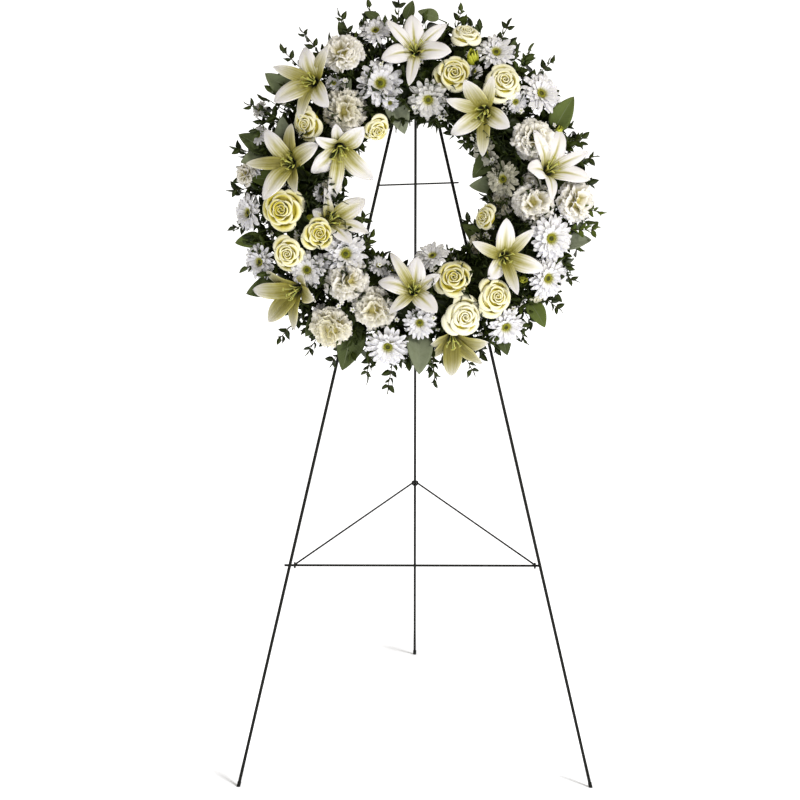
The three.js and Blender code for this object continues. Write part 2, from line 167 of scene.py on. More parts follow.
class WreathSettings(bpy.types.PropertyGroup):
    lilies: PointerProperty(type=LilySettings)
    roses: PointerProperty(type=RoseSettings)
    carnations: PointerProperty(type=CarnationSettings)
    mums: PointerProperty(type=MumSettings)
    buds: PointerProperty(type=BudSettings)
    foliage: PointerProperty(type=FoliageSettings)
    easel: PointerProperty(type=EaselSettings)
    stage: PointerProperty(type=StageSettings)


# ---- Shapes in the making ----
class Shape(NamedTuple):
    """Points and faces, with what the materials read at each point: across, along and tone."""

    points: np.ndarray
    corners: np.ndarray
    sizes: np.ndarray
    marks: np.ndarray
    finishes: np.ndarray


def deselect():
    for thing in bpy.context.selected_objects:
        thing.select_set(False)


def taken(thing):
    """The mesh of an object as a shape; the object is removed."""
    mesh = thing.data
    points = np.zeros(len(mesh.vertices) * 3)
    mesh.vertices.foreach_get("co", points)
    corners = np.zeros(len(mesh.loops), int)
    mesh.loops.foreach_get("vertex_index", corners)
    sizes = np.zeros(len(mesh.polygons), int)
    mesh.polygons.foreach_get("loop_total", sizes)
    finishes = np.zeros(len(mesh.polygons), int)
    mesh.polygons.foreach_get("material_index", finishes)
    marks = np.zeros(len(points))
    if "petal" in mesh.attributes:
        mesh.attributes["petal"].data.foreach_get("vector", marks)
    bpy.data.objects.remove(thing)
    bpy.data.meshes.remove(mesh)
    return Shape(points.reshape(-1, 3), corners, sizes, marks.reshape(-1, 3), finishes)


def joined(shapes):
    """Several shapes as one."""
    starts = np.cumsum([0] + [len(shape.points) for shape in shapes[:-1]])
    return Shape(
        np.concatenate([shape.points for shape in shapes]),
        np.concatenate([shape.corners + start for shape, start in zip(shapes, starts)]),
        np.concatenate([shape.sizes for shape in shapes]),
        np.concatenate([shape.marks for shape in shapes]),
        np.concatenate([shape.finishes for shape in shapes]),
    )


def placed(shape, matrix):
    """A shape moved by a matrix."""
    turn = np.array(matrix.to_3x3())
    return shape._replace(points=shape.points @ turn.T + np.array(matrix.translation))


def finished(shape, finish):
    """A shape with another of its piece's finishes, by its place in the piece's list of materials."""
    return shape._replace(finishes=np.full(len(shape.sizes), finish))


def mesh_object(name, shape, materials=()):
    """A new object, smoothly shaded, with a shape's mesh."""
    mesh = bpy.data.meshes.new(name)
    mesh.vertices.add(len(shape.points))
    mesh.vertices.foreach_set("co", shape.points.astype(np.float32).ravel())
    mesh.loops.add(len(shape.corners))
    mesh.polygons.add(len(shape.sizes))
    starts = np.cumsum(shape.sizes) - shape.sizes
    mesh.polygons.foreach_set("loop_start", starts.astype(np.int32))
    mesh.loops.foreach_set("vertex_index", shape.corners.astype(np.int32))
    mesh.update(calc_edges=True)
    for material in materials:
        mesh.materials.append(material)
    mesh.polygons.foreach_set("material_index", shape.finishes.astype(np.int32))
    mesh.polygons.foreach_set("use_smooth", np.ones(len(shape.sizes), bool))
    marks = mesh.attributes.new("petal", "FLOAT_VECTOR", "POINT")
    marks.data.foreach_set("vector", shape.marks.astype(np.float32).ravel())
    mesh.update()
    thing = bpy.data.objects.new(name, mesh)
    bpy.context.scene.collection.objects.link(thing)
    return thing


def thickened(shape, thickness, underside=0):
    """Open sheets as closed ones of a thickness; underside is added to the back's finish."""
    thing = mesh_object("sheet", shape, [None, None] if underside else [None])
    deselect()
    thing.select_set(True)
    bpy.context.view_layer.objects.active = thing
    wall = thing.modifiers.new("wall", "SOLIDIFY")
    wall.thickness = thickness
    wall.offset = 0
    wall.material_offset = underside
    bpy.ops.object.modifier_apply(modifier=wall.name)
    return taken(thing)


grids = {}


def grid(across, along):
    """A flat grid: x runs from -1 to 1 across it, and y from 0 to 1 along it."""
    if (across, along) not in grids:
        deselect()
        bpy.ops.mesh.primitive_grid_add(x_subdivisions=across, y_subdivisions=along, size=2)
        flat = taken(bpy.context.object)
        flat.points[:, 1] = (flat.points[:, 1] + 1) / 2
        grids[across, along] = flat
    return grids[across, along]


def sheet(across, along, form, tone=0.0):
    """A grid bent by form, which turns its across and along into points."""
    flat = grid(across, along)
    u, v = flat.points[:, 0], flat.points[:, 1]
    marks = np.stack([u, v, np.full(len(u), tone)], 1)
    return flat._replace(points=np.stack(form(u, v), 1), marks=marks)


balls = {}


def ball(subdivisions, radii, tone=0.0):
    """A ball squeezed to three radii."""
    if subdivisions not in balls:
        deselect()
        bpy.ops.mesh.primitive_ico_sphere_add(subdivisions=subdivisions, radius=1)
        balls[subdivisions] = taken(bpy.context.object)
    round_ball = balls[subdivisions]
    marks = round_ball.points * [1, 0.5, 0] + [0, 0.5, tone]
    return round_ball._replace(points=round_ball.points * radii, marks=marks)


def tube(path, radii, sides=7, tone=0.0):
    """A closed tube along a path of points, with a radius at each."""
    path = np.array([tuple(point) for point in path], float)
    count = len(path)
    radii = np.broadcast_to(radii, count)
    tangents = np.gradient(path, axis=0)
    tangents /= np.linalg.norm(tangents, axis=1)[:, None]
    side = np.cross(tangents[0], [0.31, 0.52, 0.79])
    rings = []
    for point, tangent, radius in zip(path, tangents, radii):
        side = side - tangent * (side @ tangent)
        side /= np.linalg.norm(side)
        other = np.cross(tangent, side)
        angles = np.arange(sides) * 2 * math.pi / sides
        rings.append(point + radius * (np.outer(np.cos(angles), side) + np.outer(np.sin(angles), other)))
    points = np.concatenate([*rings, path[:1], path[-1:]])
    ring = np.arange(sides)
    after = (ring + 1) % sides
    quads = [
        np.stack([ring + i * sides, after + i * sides, after + (i + 1) * sides, ring + (i + 1) * sides], 1)
        for i in range(count - 1)
    ]
    first, last = count * sides, count * sides + 1
    bottom = np.stack([after, ring, np.full(sides, first)], 1)
    top = np.stack([ring, after, np.full(sides, last - (count - 1) * sides)], 1) + (count - 1) * sides
    corners = np.concatenate([np.concatenate(quads).ravel(), bottom.ravel(), top.ravel()])
    sizes = np.concatenate([np.full(sides * (count - 1), 4), np.full(sides * 2, 3)])
    along = np.concatenate([np.repeat(np.linspace(0, 1, count), sides), [0, 1]])
    marks = np.stack([np.zeros(len(points)), along, np.full(len(points), tone)], 1)
    return Shape(points, corners, sizes, marks, np.zeros(len(sizes), int))


def bowed(start, control, end, count=9):
    """Points on a curve from start to end, drawn towards control."""
    t = np.linspace(0, 1, count)[:, None]
    start, control, end = np.array(start), np.array(control), np.array(end)
    return (1 - t) ** 2 * start + 2 * t * (1 - t) * control + t**2 * end


ARC_STEPS = 40


def arc(size, angle_of, v):
    """How far out and up a midrib has come at v, if it stands angle_of(v) off the axis there."""
    steps = np.linspace(0, 1, ARC_STEPS + 1)
    ways = []
    for part in (np.sin(angle_of(steps)), np.cos(angle_of(steps))):
        way = np.concatenate([[0], np.cumsum((part[1:] + part[:-1]) / 2)]) * size / ARC_STEPS
        ways.append(np.interp(v, steps, way))
    return ways


def trough(size, angle_of, half_width, wrap, u, v, lift=0.0, start=0.0):
    """Points of a petal that bends along its midrib by angle_of and curls across by wrap, a half angle.

    half_width is at each point, lift raises it off the petal's face, and start is its foot off the axis.
    """
    out, up = arc(size, angle_of, v)
    lean = angle_of(v)
    wrap = np.maximum(wrap, 0.02)
    sideways = half_width * np.sin(wrap * u) / wrap
    rise = half_width * (1 - np.cos(wrap * u)) / wrap + lift
    return start + out - rise * np.cos(lean), sideways, up + rise * np.sin(lean)


def spun(shape, angle):
    return placed(shape, Matrix.Rotation(angle, 4, "Z"))


def raised(shape, height):
    return placed(shape, Matrix.Translation((0, 0, height)))


def turned(profile, sides):
    """A solid round the Z axis, from the heights and radii of its outline."""
    return tube([(0, 0, height) for height, _ in profile], [radius for _, radius in profile], sides)


# ---- Places on the wreath ----
class Spot(NamedTuple):
    """Where a stem goes in and how its head stands.

    clock is measured anticlockwise from the right of the ring, lean from straight forward (0) to
    straight outward (90), and reach from the middle of the foam to the head. The head faces tilt off
    straight forward, toward a clock direction, and its first petal points the way of spin. A lily's six
    petals point the ways of petals instead, and spans are their lengths against the usual one.
    """

    clock: float
    lean: float
    reach: float
    tilt: float = None
    toward: float = None
    spin: float = 0
    petals: tuple = ()
    spans: tuple = (1, 1, 1, 1, 1, 1)
    size: float = 1
    # On a lily, a mum or a carnation, a higher tone paints shade: it spreads olive or yellow-green over the
    # petals.
    tone: float = 0.5
    node: str = None


def ring_direction(clock):
    return Vector((math.cos(math.radians(clock)), math.sin(math.radians(clock)), 0))


def at(clock, radius, height):
    """A place by its clock, its radius from the middle of the ring and its height in front of the legs."""
    return ring_direction(clock) * radius + Vector((0, 0, height))


def leaning(clock, lean):
    """The way that is lean degrees from straight forward, outward at a clock."""
    return at(clock, math.sin(math.radians(lean)), math.cos(math.radians(lean)))


def in_foam(clock):
    return at(clock, RING_RADIUS, FOAM_MIDDLE)


def square_to(way, other):
    """The part of a way that is at right angles to another, at unit length."""
    return (way - other * way.dot(other)).normalized()


def on_axes(along, up, place):
    """The matrix that stands a shape at a place, with its X along and its Z up."""
    matrix = Matrix((along, up.cross(along), up)).transposed().to_4x4()
    matrix.translation = place
    return matrix


def standing(place, face, spin):
    """The matrix that stands a head at a place, with its axis along face and its X turned to spin."""
    return on_axes(square_to(ring_direction(spin), face), face, place)


LILIES = [
    Spot(132, 57, 77, 24, 170, size=1.02, tone=0.55, node="lily_1",
         petals=(98, 149, 207, 254, 303, 52), spans=(0.84, 1, 1, 1.05, 0.88, 0.85)),
    Spot(90, 50, 65, 14, 100, size=1.0, tone=0.1, node="lily_2",
         petals=(90, 140, 196, 268, 350, 36), spans=(0.88, 1, 0.85, 1.15, 0.95, 1)),
    Spot(167, 28, 53, 22, 175, size=1.0, tone=0.7, node="lily_3",
         petals=(125, 182, 237, 280, 20, 86), spans=(1, 1.03, 1.08, 0.8, 0.88, 0.95)),
    Spot(147, -29, 63, 36, 280, size=1.06, tone=0.4, node="lily_4",
         petals=(50, 138, 216, 261, 316, 95), spans=(0.9, 0.85, 0.82, 1.2, 1.05, 0.7)),
    Spot(50, 0, 54, 20, 250, size=0.98, tone=0.65, node="lily_5",
         petals=(112, 162, 218, 270, 332, 76), spans=(1, 1, 1, 1.15, 0.82, 1)),
    Spot(200, -22, 48, 40, 30, size=1.0, tone=0.4, node="lily_6",
         petals=(36, 108, 150, 255, 303, 356), spans=(1.1, 0.85, 0.5, 0.5, 0.8, 1.05)),
    Spot(8, 37, 58, 30, 35, size=1.02, tone=0.15, node="lily_7",
         petals=(72, 130, 200, 262, 345, 28), spans=(1, 1, 0.9, 0.9, 1, 1)),
    Spot(324, -2, 55, 12, 300, size=0.93, tone=0.5, node="lily_8",
         petals=(92, 158, 236, 283, 343, 48), spans=(1.08, 1.08, 0.75, 1, 1.05, 1.05)),
    Spot(269, -13, 56, 14, 80, size=0.96, tone=0.35, node="lily_9",
         petals=(82, 128, 160, 230, 308, 30), spans=(0.82, 1.08, 0.95, 0.95, 0.84, 0.75)),
    Spot(220, 55, 78, 46, 212, size=0.96, tone=1.0, node="lily_10",
         petals=(186, 276, 236, 152, 350, 60), spans=(1.15, 1, 1.12, 0.9, 0.6, 0.5)),
    Spot(285, 56, 69, 52, 275, size=0.95, tone=0.95, node="lily_11",
         petals=(268, 315, 348, 80, 190, 225), spans=(1.12, 1.1, 0.95, 0.45, 0.62, 0.75)),
]
ROSES = [
    Spot(72, 18, 74, tilt=12, toward=60, spin=20, size=1.0, tone=0.7, node="rose_1"),
    Spot(51, 38, 85, tilt=20, toward=60, spin=50, size=1.06, tone=0.3, node="rose_2"),
    Spot(188, 30, 82, tilt=18, toward=200, spin=0, size=1.15, tone=1.0, node="rose_3"),
    Spot(204, -4, 80, tilt=14, toward=0, spin=40, size=0.86, tone=0.9, node="rose_4"),
    Spot(206, 38, 89, tilt=18, toward=230, spin=80, size=0.9, tone=0.6, node="rose_5"),
    Spot(294, -18, 75, tilt=14, toward=110, spin=10, size=1.03, tone=0.85, node="rose_6"),
    Spot(307, 29, 81, tilt=22, toward=0, spin=70, size=1.02, tone=0.55, node="rose_7"),
    Spot(291, 31, 84, tilt=16, toward=330, spin=30, size=1.08, tone=0.1, node="rose_8"),
    Spot(148, 23, 77, tilt=35, toward=200, spin=60, size=0.9, tone=0.6, node="rose_9"),
    Spot(72, 64, 108, tilt=50, toward=75, spin=60, size=0.86, tone=0.05),
    Spot(340, -42, 88, tilt=45, toward=170, spin=10, size=0.7, tone=0.7),
    Spot(122, -44, 88, tilt=44, toward=300, spin=30, size=0.76, tone=0.7),
    Spot(320, 74, 100, tilt=64, toward=300, spin=30, size=0.5, tone=0.1),
]
CARNATIONS = [
    Spot(118, 59, 100, tone=0.25, node="carnation_1"),
    Spot(131, -3, 66, tone=0.65, size=1.02, node="carnation_2"),
    Spot(24, 28, 75, tone=0.3, node="carnation_3"),
    Spot(355, 14, 68, tone=0.25, node="carnation_4"),
    Spot(233, 4, 66, tone=0.35, size=1.05, node="carnation_5"),
    Spot(251, 22, 71, tone=0.6, node="carnation_6"),
    Spot(238, 63, 103, tone=0.95, size=1.03, node="carnation_7"),
    Spot(357, 62, 103, tone=0.15, size=1.03, node="carnation_8"),
    Spot(352, -46, 56, tilt=34, toward=180, size=0.66, tone=0.6),
    Spot(322, -58, 57, tilt=40, toward=140, size=0.56, tone=0.9),
    Spot(5, 12, 56, tilt=15, toward=190, size=0.5, tone=0.3),
    Spot(176, -40, 66, tilt=24, toward=60, size=0.5, tone=0.9),
    Spot(174, 72, 116, tilt=46, toward=172, size=0.56, tone=0.4),
]
MUMS = [
    Spot(108, 6, 66, size=1.08, node="mum_1"),
    Spot(60, 65, 101, tilt=24, toward=80, size=0.92, node="mum_2"),
    Spot(38, 60, 101, size=1.05, node="mum_3"),
    Spot(341, 43, 87, size=1.1, node="mum_4"),
    Spot(327, 59, 100, size=1.0, node="mum_5"),
    Spot(304, 64, 104, size=0.94, node="mum_6"),
    Spot(260, 58, 99, size=1.02, node="mum_7"),
    Spot(187, 70, 111, tilt=50, toward=180, size=0.9, node="mum_8"),
    Spot(104, 67, 108, size=0.8, node="mum_9"),
    Spot(82, -24, 70, tilt=30, toward=260, size=1.0, tone=0.75),
    Spot(42, 35, 76, tilt=25, toward=300, size=0.6),
    Spot(272, 31, 74, size=0.8),
    Spot(222, -22, 71, size=1.05),
    Spot(216, 33, 78, size=0.9, tone=0.65),
    Spot(204, 75, 112, tilt=42, toward=200, size=0.9),
    Spot(285, -53, 92, tilt=42, toward=110, size=0.8, tone=0.6),
    Spot(8, -29, 72, tilt=30, toward=190, size=0.85, tone=0.95),
    Spot(30, -52, 60, tilt=50, toward=205, size=0.8, tone=0.9),
    Spot(127, 42, 69, tilt=20, toward=127, size=0.45),
    Spot(253, -46, 62, tilt=30, toward=90, size=0.5),
    Spot(106, -28, 62, tilt=20, toward=270, size=0.42),
    Spot(64, 38, 70, tilt=20, toward=60, size=0.4),
    Spot(181, -25, 60, tilt=30, toward=20, size=0.45),
    Spot(217, 12, 64, tilt=15, toward=240, size=0.42),
    Spot(172, 70, 100, tilt=50, toward=175, size=0.5),
    Spot(20, 62, 84, tilt=40, toward=10, size=0.45),
    Spot(334, 66, 84, tilt=40, toward=335, size=0.5),
    Spot(120, 78, 92, tilt=50, toward=130, size=0.6),
    Spot(232, 66, 84, tilt=24, toward=60, size=0.45),
    Spot(244, -40, 70, tilt=40, toward=70, size=0.6),
    Spot(300, 60, 60, tilt=30, toward=280, size=0.5),
    Spot(152, 78, 122, tilt=50, toward=150, size=0.45, tone=0.7),
    Spot(160, 72, 106, tilt=44, toward=160, size=0.5, tone=0.6),
]
BUDS = [
    Spot(67, 48, 84, tilt=30, toward=95, size=1.1, node="bud_1"),
    Spot(23, 61, 92, tilt=40, toward=60, size=0.7, node="bud_2"),
    Spot(321, 42, 78, tilt=20, toward=330, size=0.7),
    Spot(194, -3, 60, tilt=30, toward=350, size=0.7),
]


# ---- Materials ----
SMOOTH = {"interpolation_type": "SMOOTHSTEP"}
BUMP = 0.6  # strength of the bump of every finish


def add(tree, kind, *values, inputs=(), output=None, **settings):
    """A node with its settings. The values go in order to those of its inputs that are in use.

    inputs holds values for inputs by name. A value is a number, a colour or another node's output. The
    named output is returned, or else the first one in use.
    """
    made = tree.nodes.new("ShaderNode" + kind)
    for name, value in settings.items():
        setattr(made, name, value)
    in_use = [socket for socket in made.inputs if socket.enabled]
    named = [(made.inputs[name], value) for name, value in dict(inputs).items()]
    for socket, value in [*zip(in_use, values), *named]:
        if isinstance(value, bpy.types.NodeSocket):
            tree.links.new(value, socket)
        else:
            socket.default_value = value
    if output:
        return made.outputs[output]
    return next((socket for socket in made.outputs if socket.enabled), None)


def new_material(name, **shader):
    """A material with one Principled shader; shader holds what is the same all over."""
    made = bpy.data.materials.new(name)
    made.use_nodes = True
    tree = made.node_tree
    tree.nodes.clear()
    surface = add(tree, "BsdfPrincipled")
    add(tree, "OutputMaterial", surface)
    for key, value in shader.items():
        surface.node.inputs[key.replace("_", " ")].default_value = value
    return made, tree, surface.node


def marks_of(tree):
    """Across, along and tone, and how far a point is from the midrib."""
    marks = add(tree, "Attribute", output="Vector", attribute_name="petal")
    across, along, tone = add(tree, "SeparateXYZ", marks).node.outputs
    return across, along, tone, add(tree, "Math", across, operation="ABSOLUTE")


def specks(tree, size, detail=3.0):
    """Blotches that are size millimetres across."""
    place = add(tree, "TexCoord", output="Object")
    return add(tree, "TexNoise", place, 1 / (size * MM), detail)


def clouded(tree, value, size, swing, least):
    """A value made uneven by blotches, between least and least + swing times itself, and at most 1."""
    clouds = add(tree, "Math", specks(tree, size), swing, least, operation="MULTIPLY_ADD")
    return add(tree, "Clamp", add(tree, "Math", value, clouds, operation="MULTIPLY"))


def ribbing(tree, value, pace):
    """Ribs over a value, drawn as close together as they still show, which is coarser than real veins."""
    return add(tree, "Math", add(tree, "Math", value, pace, operation="MULTIPLY"), operation="SINE")


def dressed(tree, principled, colour, height, depth):
    """Gives the shader its colour, and bump of a depth in millimetres."""
    tree.links.new(colour, principled.inputs["Base Color"])
    bump = add(tree, "Bump", inputs={"Height": height, "Distance": depth * MM, "Strength": BUMP})
    tree.links.new(bump, principled.inputs["Normal"])


PETAL_SKIN = {
    "Roughness": 0.55,
    "Subsurface_Weight": 0.22,
    "Subsurface_Radius": (0.9, 0.9, 0.6),
    "Subsurface_Scale": 0.003,
    "Sheen_Weight": 0.08,
    "Specular_IOR_Level": 0.32,
}


def lily_petal_material(settings):
    """Lily petal: waxy and fine-ribbed, white with a yellow-green flush up its midrib."""
    made, tree, principled = new_material("lily petal, waxy", **PETAL_SKIN)
    across, along, tone, off = marks_of(tree)

    # The flush of the throat ends in streaks. A stronger tone takes it further up a petal, as painted shade.
    streaks = add(tree, "Math", ribbing(tree, off, 21.0), 0.05, operation="MULTIPLY")
    streaked = add(tree, "Math", along, streaks, operation="ADD")
    reach = add(tree, "Math", tone, 0.62, 0.32, operation="MULTIPLY_ADD")
    spread = add(tree, "Math", streaked, reach, operation="DIVIDE")
    throat = add(tree, "MapRange", spread, 0.3, 1.2, 1.0, 0.0, **SMOOTH)
    throat = add(tree, "Math", throat, 0.95, operation="MULTIPLY")

    # The flush of the midrib fades before the tip. A stronger tone widens it, as painted shade.
    squared = add(tree, "Math", tone, 2.0, operation="POWER")
    rib_width = add(tree, "Math", squared, 1.0, 0.16, operation="MULTIPLY_ADD")
    beside = add(tree, "Math", off, rib_width, operation="DIVIDE")
    rib = add(tree, "MapRange", beside, 0.0, 1.2, 1.0, 0.0, **SMOOTH)
    before_tip = add(tree, "MapRange", along, 0.3, 0.95, 0.9, 0.0, **SMOOTH)
    rib = add(tree, "Math", rib, before_tip, operation="MULTIPLY")

    green = clouded(tree, add(tree, "Math", throat, rib, operation="MAXIMUM"), 11, 0.7, 0.6)
    faint = add(tree, "Math", green, 0.8, operation="POWER")
    strong = add(tree, "Math", green, 1.3, operation="POWER")
    pale = add(tree, "Mix", faint, settings.petal, linear("CFC85C"), data_type="RGBA")
    skin = add(tree, "Mix", strong, pale, settings.flush, data_type="RGBA")

    # Painted shade: the inside of a petal of the strongest tone is olive.
    middle = add(tree, "MapRange", off, 0.5, 1.05, 0.88, 0.0, **SMOOTH)
    lower = add(tree, "MapRange", along, 0.45, 1.25, 1.0, 0.0, **SMOOTH)
    inner = add(tree, "Math", middle, lower, operation="MULTIPLY")
    strongest = add(tree, "Math", tone, 2.4, operation="POWER")
    shaded = add(tree, "Math", strongest, inner, operation="MULTIPLY")
    skin = add(tree, "Mix", shaded, skin, linear("6E6722"), data_type="RGBA")
    # Its very foot is dark: the throat colour, the green of the nectary grooves with painted shade of the
    # deep funnel.
    foot = add(tree, "MapRange", along, 0.14, 0.32, 1.0, 0.0, **SMOOTH)
    skin = add(tree, "Mix", foot, skin, settings.throat, data_type="RGBA")
    dressed(tree, principled, skin, ribbing(tree, across, 38.0), 0.22)
    return made


def lily_heart_material():
    """Filaments, anthers and stigma: smooth and moist, yellow-green."""
    made, tree, principled = new_material("lily filament, moist", Roughness=0.4, Subsurface_Weight=0.1)
    _, along, tone, _ = marks_of(tree)
    foot = add(tree, "MapRange", along, 0.1, 0.8, 1.0, 0.0, **SMOOTH)
    shade = add(tree, "Mix", foot, linear("C4C66E"), linear("5F6A1C"), data_type="RGBA")
    shade = add(tree, "Mix", tone, shade, linear("A9A648"), data_type="RGBA")
    dressed(tree, principled, shade, specks(tree, 1.2), 0.15)
    return made


def rose_petal_material(settings):
    """Rose petal: velvety and cream, yellow-green down between the petals."""
    made, tree, principled = new_material("rose petal, velvety", **{**PETAL_SKIN, "Sheen_Weight": 0.2})
    across, along, tone, _ = marks_of(tree)
    start = add(tree, "Math", tone, 0.34, 0.42, operation="MULTIPLY_ADD")
    end = add(tree, "Math", tone, 0.2, 0.79, operation="MULTIPLY_ADD")
    depth = add(tree, "MapRange", along, start, end, 1.0, 0.0, **SMOOTH)
    least = add(tree, "Math", tone, 0.16, operation="MULTIPLY")
    green = clouded(tree, add(tree, "Math", depth, least, operation="MAXIMUM"), 14, 0.5, 0.66)
    faint = add(tree, "Math", green, 0.65, operation="POWER")
    strong = add(tree, "Math", green, 1.6, operation="POWER")
    pale = add(tree, "Mix", faint, settings.rim, linear("EEE276"), data_type="RGBA")
    skin = add(tree, "Mix", strong, pale, settings.depth, data_type="RGBA")
    velvet = add(tree, "Math", ribbing(tree, across, 26.0), specks(tree, 2), operation="ADD")
    dressed(tree, principled, skin, velvet, 0.1)
    return made


def carnation_petal_material(settings):
    """Carnation petal: thin, matt and crimped, ivory with a green-cream claw."""
    made, tree, principled = new_material("carnation petal, crimped", **PETAL_SKIN)
    across, along, tone, _ = marks_of(tree)
    claw = add(tree, "MapRange", along, 0.45, 1.0, 1.0, 0.0, **SMOOTH)
    # A higher tone spreads the depth colour over the whole petal: partly a greener heart, partly painted
    # shade on carnations that stand in shade.
    clouds = add(tree, "Math", specks(tree, 10), 1.0, 0.1, operation="MULTIPLY_ADD")
    heart = add(tree, "Math", tone, clouds, operation="MULTIPLY")
    green = add(tree, "Clamp", add(tree, "Math", claw, heart, operation="MAXIMUM"))
    skin = add(tree, "Mix", green, settings.edge, settings.depth, data_type="RGBA")
    crimps = add(tree, "Math", ribbing(tree, across, 30.0), specks(tree, 3), operation="ADD")
    dressed(tree, principled, skin, crimps, 0.14)
    return made


def mum_ray_material(settings):
    """Daisy mum ray: smooth, finely ribbed, white with a green-yellow foot."""
    made, tree, principled = new_material("mum ray, ribbed", **PETAL_SKIN)
    across, along, tone, _ = marks_of(tree)
    foot = clouded(tree, add(tree, "MapRange", along, 0.1, 0.5, 1.0, 0.0, **SMOOTH), 8, 0.5, 0.65)
    # Painted shade: a tone above a half turns the rays olive grey.
    shaded = add(tree, "MapRange", tone, 1.1, 0.5, 0.8, 0.0, **SMOOTH)
    ray = add(tree, "Mix", shaded, settings.ray, linear("8C8858"), data_type="RGBA")
    ray = add(tree, "Mix", foot, ray, linear("BDBA48"), data_type="RGBA")
    dressed(tree, principled, ray, ribbing(tree, across, 14.0), 0.14)
    return made


def mum_disc_material(settings):
    """Daisy mum disc: a bead of tiny florets, open and yellow outside, closed and olive in the middle."""
    made, tree, principled = new_material("mum disc, beaded", Roughness=0.6, Subsurface_Weight=0.1)
    _, _, tone, _ = marks_of(tree)
    closed = add(tree, "MapRange", tone, 0.5, 0.92, 1.0, 0.0, **SMOOTH)
    shade = add(tree, "Mix", closed, settings.ring, settings.eye, data_type="RGBA")
    dressed(tree, principled, shade, specks(tree, 0.8), 0.1)
    return made


def bud_material(settings):
    """Bud: tight, waxy petals, bright yellow-green, paler to the tip."""
    made, tree, principled = new_material("bud petal, waxy", **{**PETAL_SKIN, "Roughness": 0.45})
    across, along, _, _ = marks_of(tree)
    foot = add(tree, "MapRange", along, 0.3, 1.15, 1.0, 0.0, **SMOOTH)
    shade = add(tree, "Mix", foot, linear("CBD04E"), settings.petal, data_type="RGBA")
    dressed(tree, principled, shade, ribbing(tree, across, 18.0), 0.12)
    return made


def stem_material(settings):
    """Stems and calyxes: fresh, slightly waxy green."""
    made, tree, principled = new_material("green stem, waxy", Roughness=0.55, Specular_IOR_Level=0.3)
    shade = add(tree, "Mix", specks(tree, 6), settings.stem, linear("38461C"), data_type="RGBA")
    dressed(tree, principled, shade, specks(tree, 1.5), 0.12)
    return made


def twig_material():
    """Twigs of the sprigs: thin brown-green bark."""
    made, tree, principled = new_material("twig, woody", Roughness=0.75, Specular_IOR_Level=0.25)
    shade = add(tree, "Mix", specks(tree, 5), linear("2E3312"), linear("3A2E18"), data_type="RGBA")
    dressed(tree, principled, shade, specks(tree, 1.2), 0.15)
    return made


def leaf_material(name, roughness, greens):
    """Leaf: leathery, with a pale midrib and side veins that run up to the edge."""
    made, tree, principled = new_material(name, Roughness=roughness, Specular_IOR_Level=0.18)
    _, along, tone, off = marks_of(tree)
    deep, fresh, grey = greens
    fresher = add(tree, "MapRange", tone, 0.5, 0.05, 1.0, 0.0, **SMOOTH)
    greyer = add(tree, "MapRange", tone, 0.95, 0.55, 1.0, 0.0, **SMOOTH)
    base = add(tree, "Mix", fresher, deep, fresh, data_type="RGBA")
    base = add(tree, "Mix", greyer, base, grey, data_type="RGBA")

    slope = add(tree, "Math", off, -0.16, along, operation="MULTIPLY_ADD")
    from_vein = add(tree, "Math", ribbing(tree, slope, 60.0), operation="ABSOLUTE")
    vein = add(tree, "MapRange", from_vein, 0.0, 0.22, 0.35, 0.0, **SMOOTH)
    midrib = add(tree, "MapRange", off, 0.0, 0.07, 0.8, 0.0, **SMOOTH)
    lines = add(tree, "Math", vein, midrib, operation="MAXIMUM")

    mottles = add(tree, "Math", specks(tree, 7), 0.5, operation="MULTIPLY")
    mottled = add(tree, "Mix", mottles, base, deep, data_type="RGBA")
    paler = add(tree, "Math", lines, 0.45, operation="MULTIPLY")
    veined = add(tree, "Mix", paler, mottled, grey, data_type="RGBA")
    quilting = add(tree, "Math", lines, -1.0, specks(tree, 3), operation="MULTIPLY_ADD")
    dressed(tree, principled, veined, quilting, 0.35)
    return made


def small_leaf_material(settings):
    """Small leaves: glossy, dark box-like green, a little lighter on the young ones."""
    made, tree, principled = new_material("small leaf, glossy", Roughness=0.5, Specular_IOR_Level=0.2)
    _, _, tone, off = marks_of(tree)
    young = add(tree, "Mix", tone, settings.small, linear("56651A"), data_type="RGBA")
    rib = add(tree, "MapRange", off, 0.0, 0.25, 0.35, 0.0, **SMOOTH)
    shade = add(tree, "Mix", rib, young, linear("4E5A22"), data_type="RGBA")
    dressed(tree, principled, shade, specks(tree, 3), 0.2)
    return made


def blossom_material(settings):
    """Filler blossom: papery white petals round a greenish bead."""
    made, tree, principled = new_material("filler blossom, papery", **PETAL_SKIN)
    _, along, tone, _ = marks_of(tree)
    foot = add(tree, "MapRange", along, 0.0, 0.7, 0.5, 0.0, **SMOOTH)
    green = add(tree, "Math", tone, foot, operation="MAXIMUM")
    shade = add(tree, "Mix", green, settings.blossom, linear("AEB45A"), data_type="RGBA")
    dressed(tree, principled, shade, specks(tree, 1.4), 0.15)
    return made


def coated_wire_material(settings):
    """Steel wire dipped in a dark green-black coat: satin, a little lumpy, dusty where it was handled."""
    made, tree, principled = new_material("coated wire, dipped", Specular_IOR_Level=0.22)
    patches = specks(tree, 14, 4.0)
    dark = add(tree, "MapRange", patches, 0.35, 0.7, 1.0, 0.0, **SMOOTH)
    shade = add(tree, "Mix", dark, linear("12130D"), settings.coat, data_type="RGBA")
    rough = add(tree, "MapRange", patches, 0.0, 1.0, 0.42, 0.66)
    tree.links.new(rough, principled.inputs["Roughness"])
    dressed(tree, principled, shade, specks(tree, 1.6), 0.25)
    return made


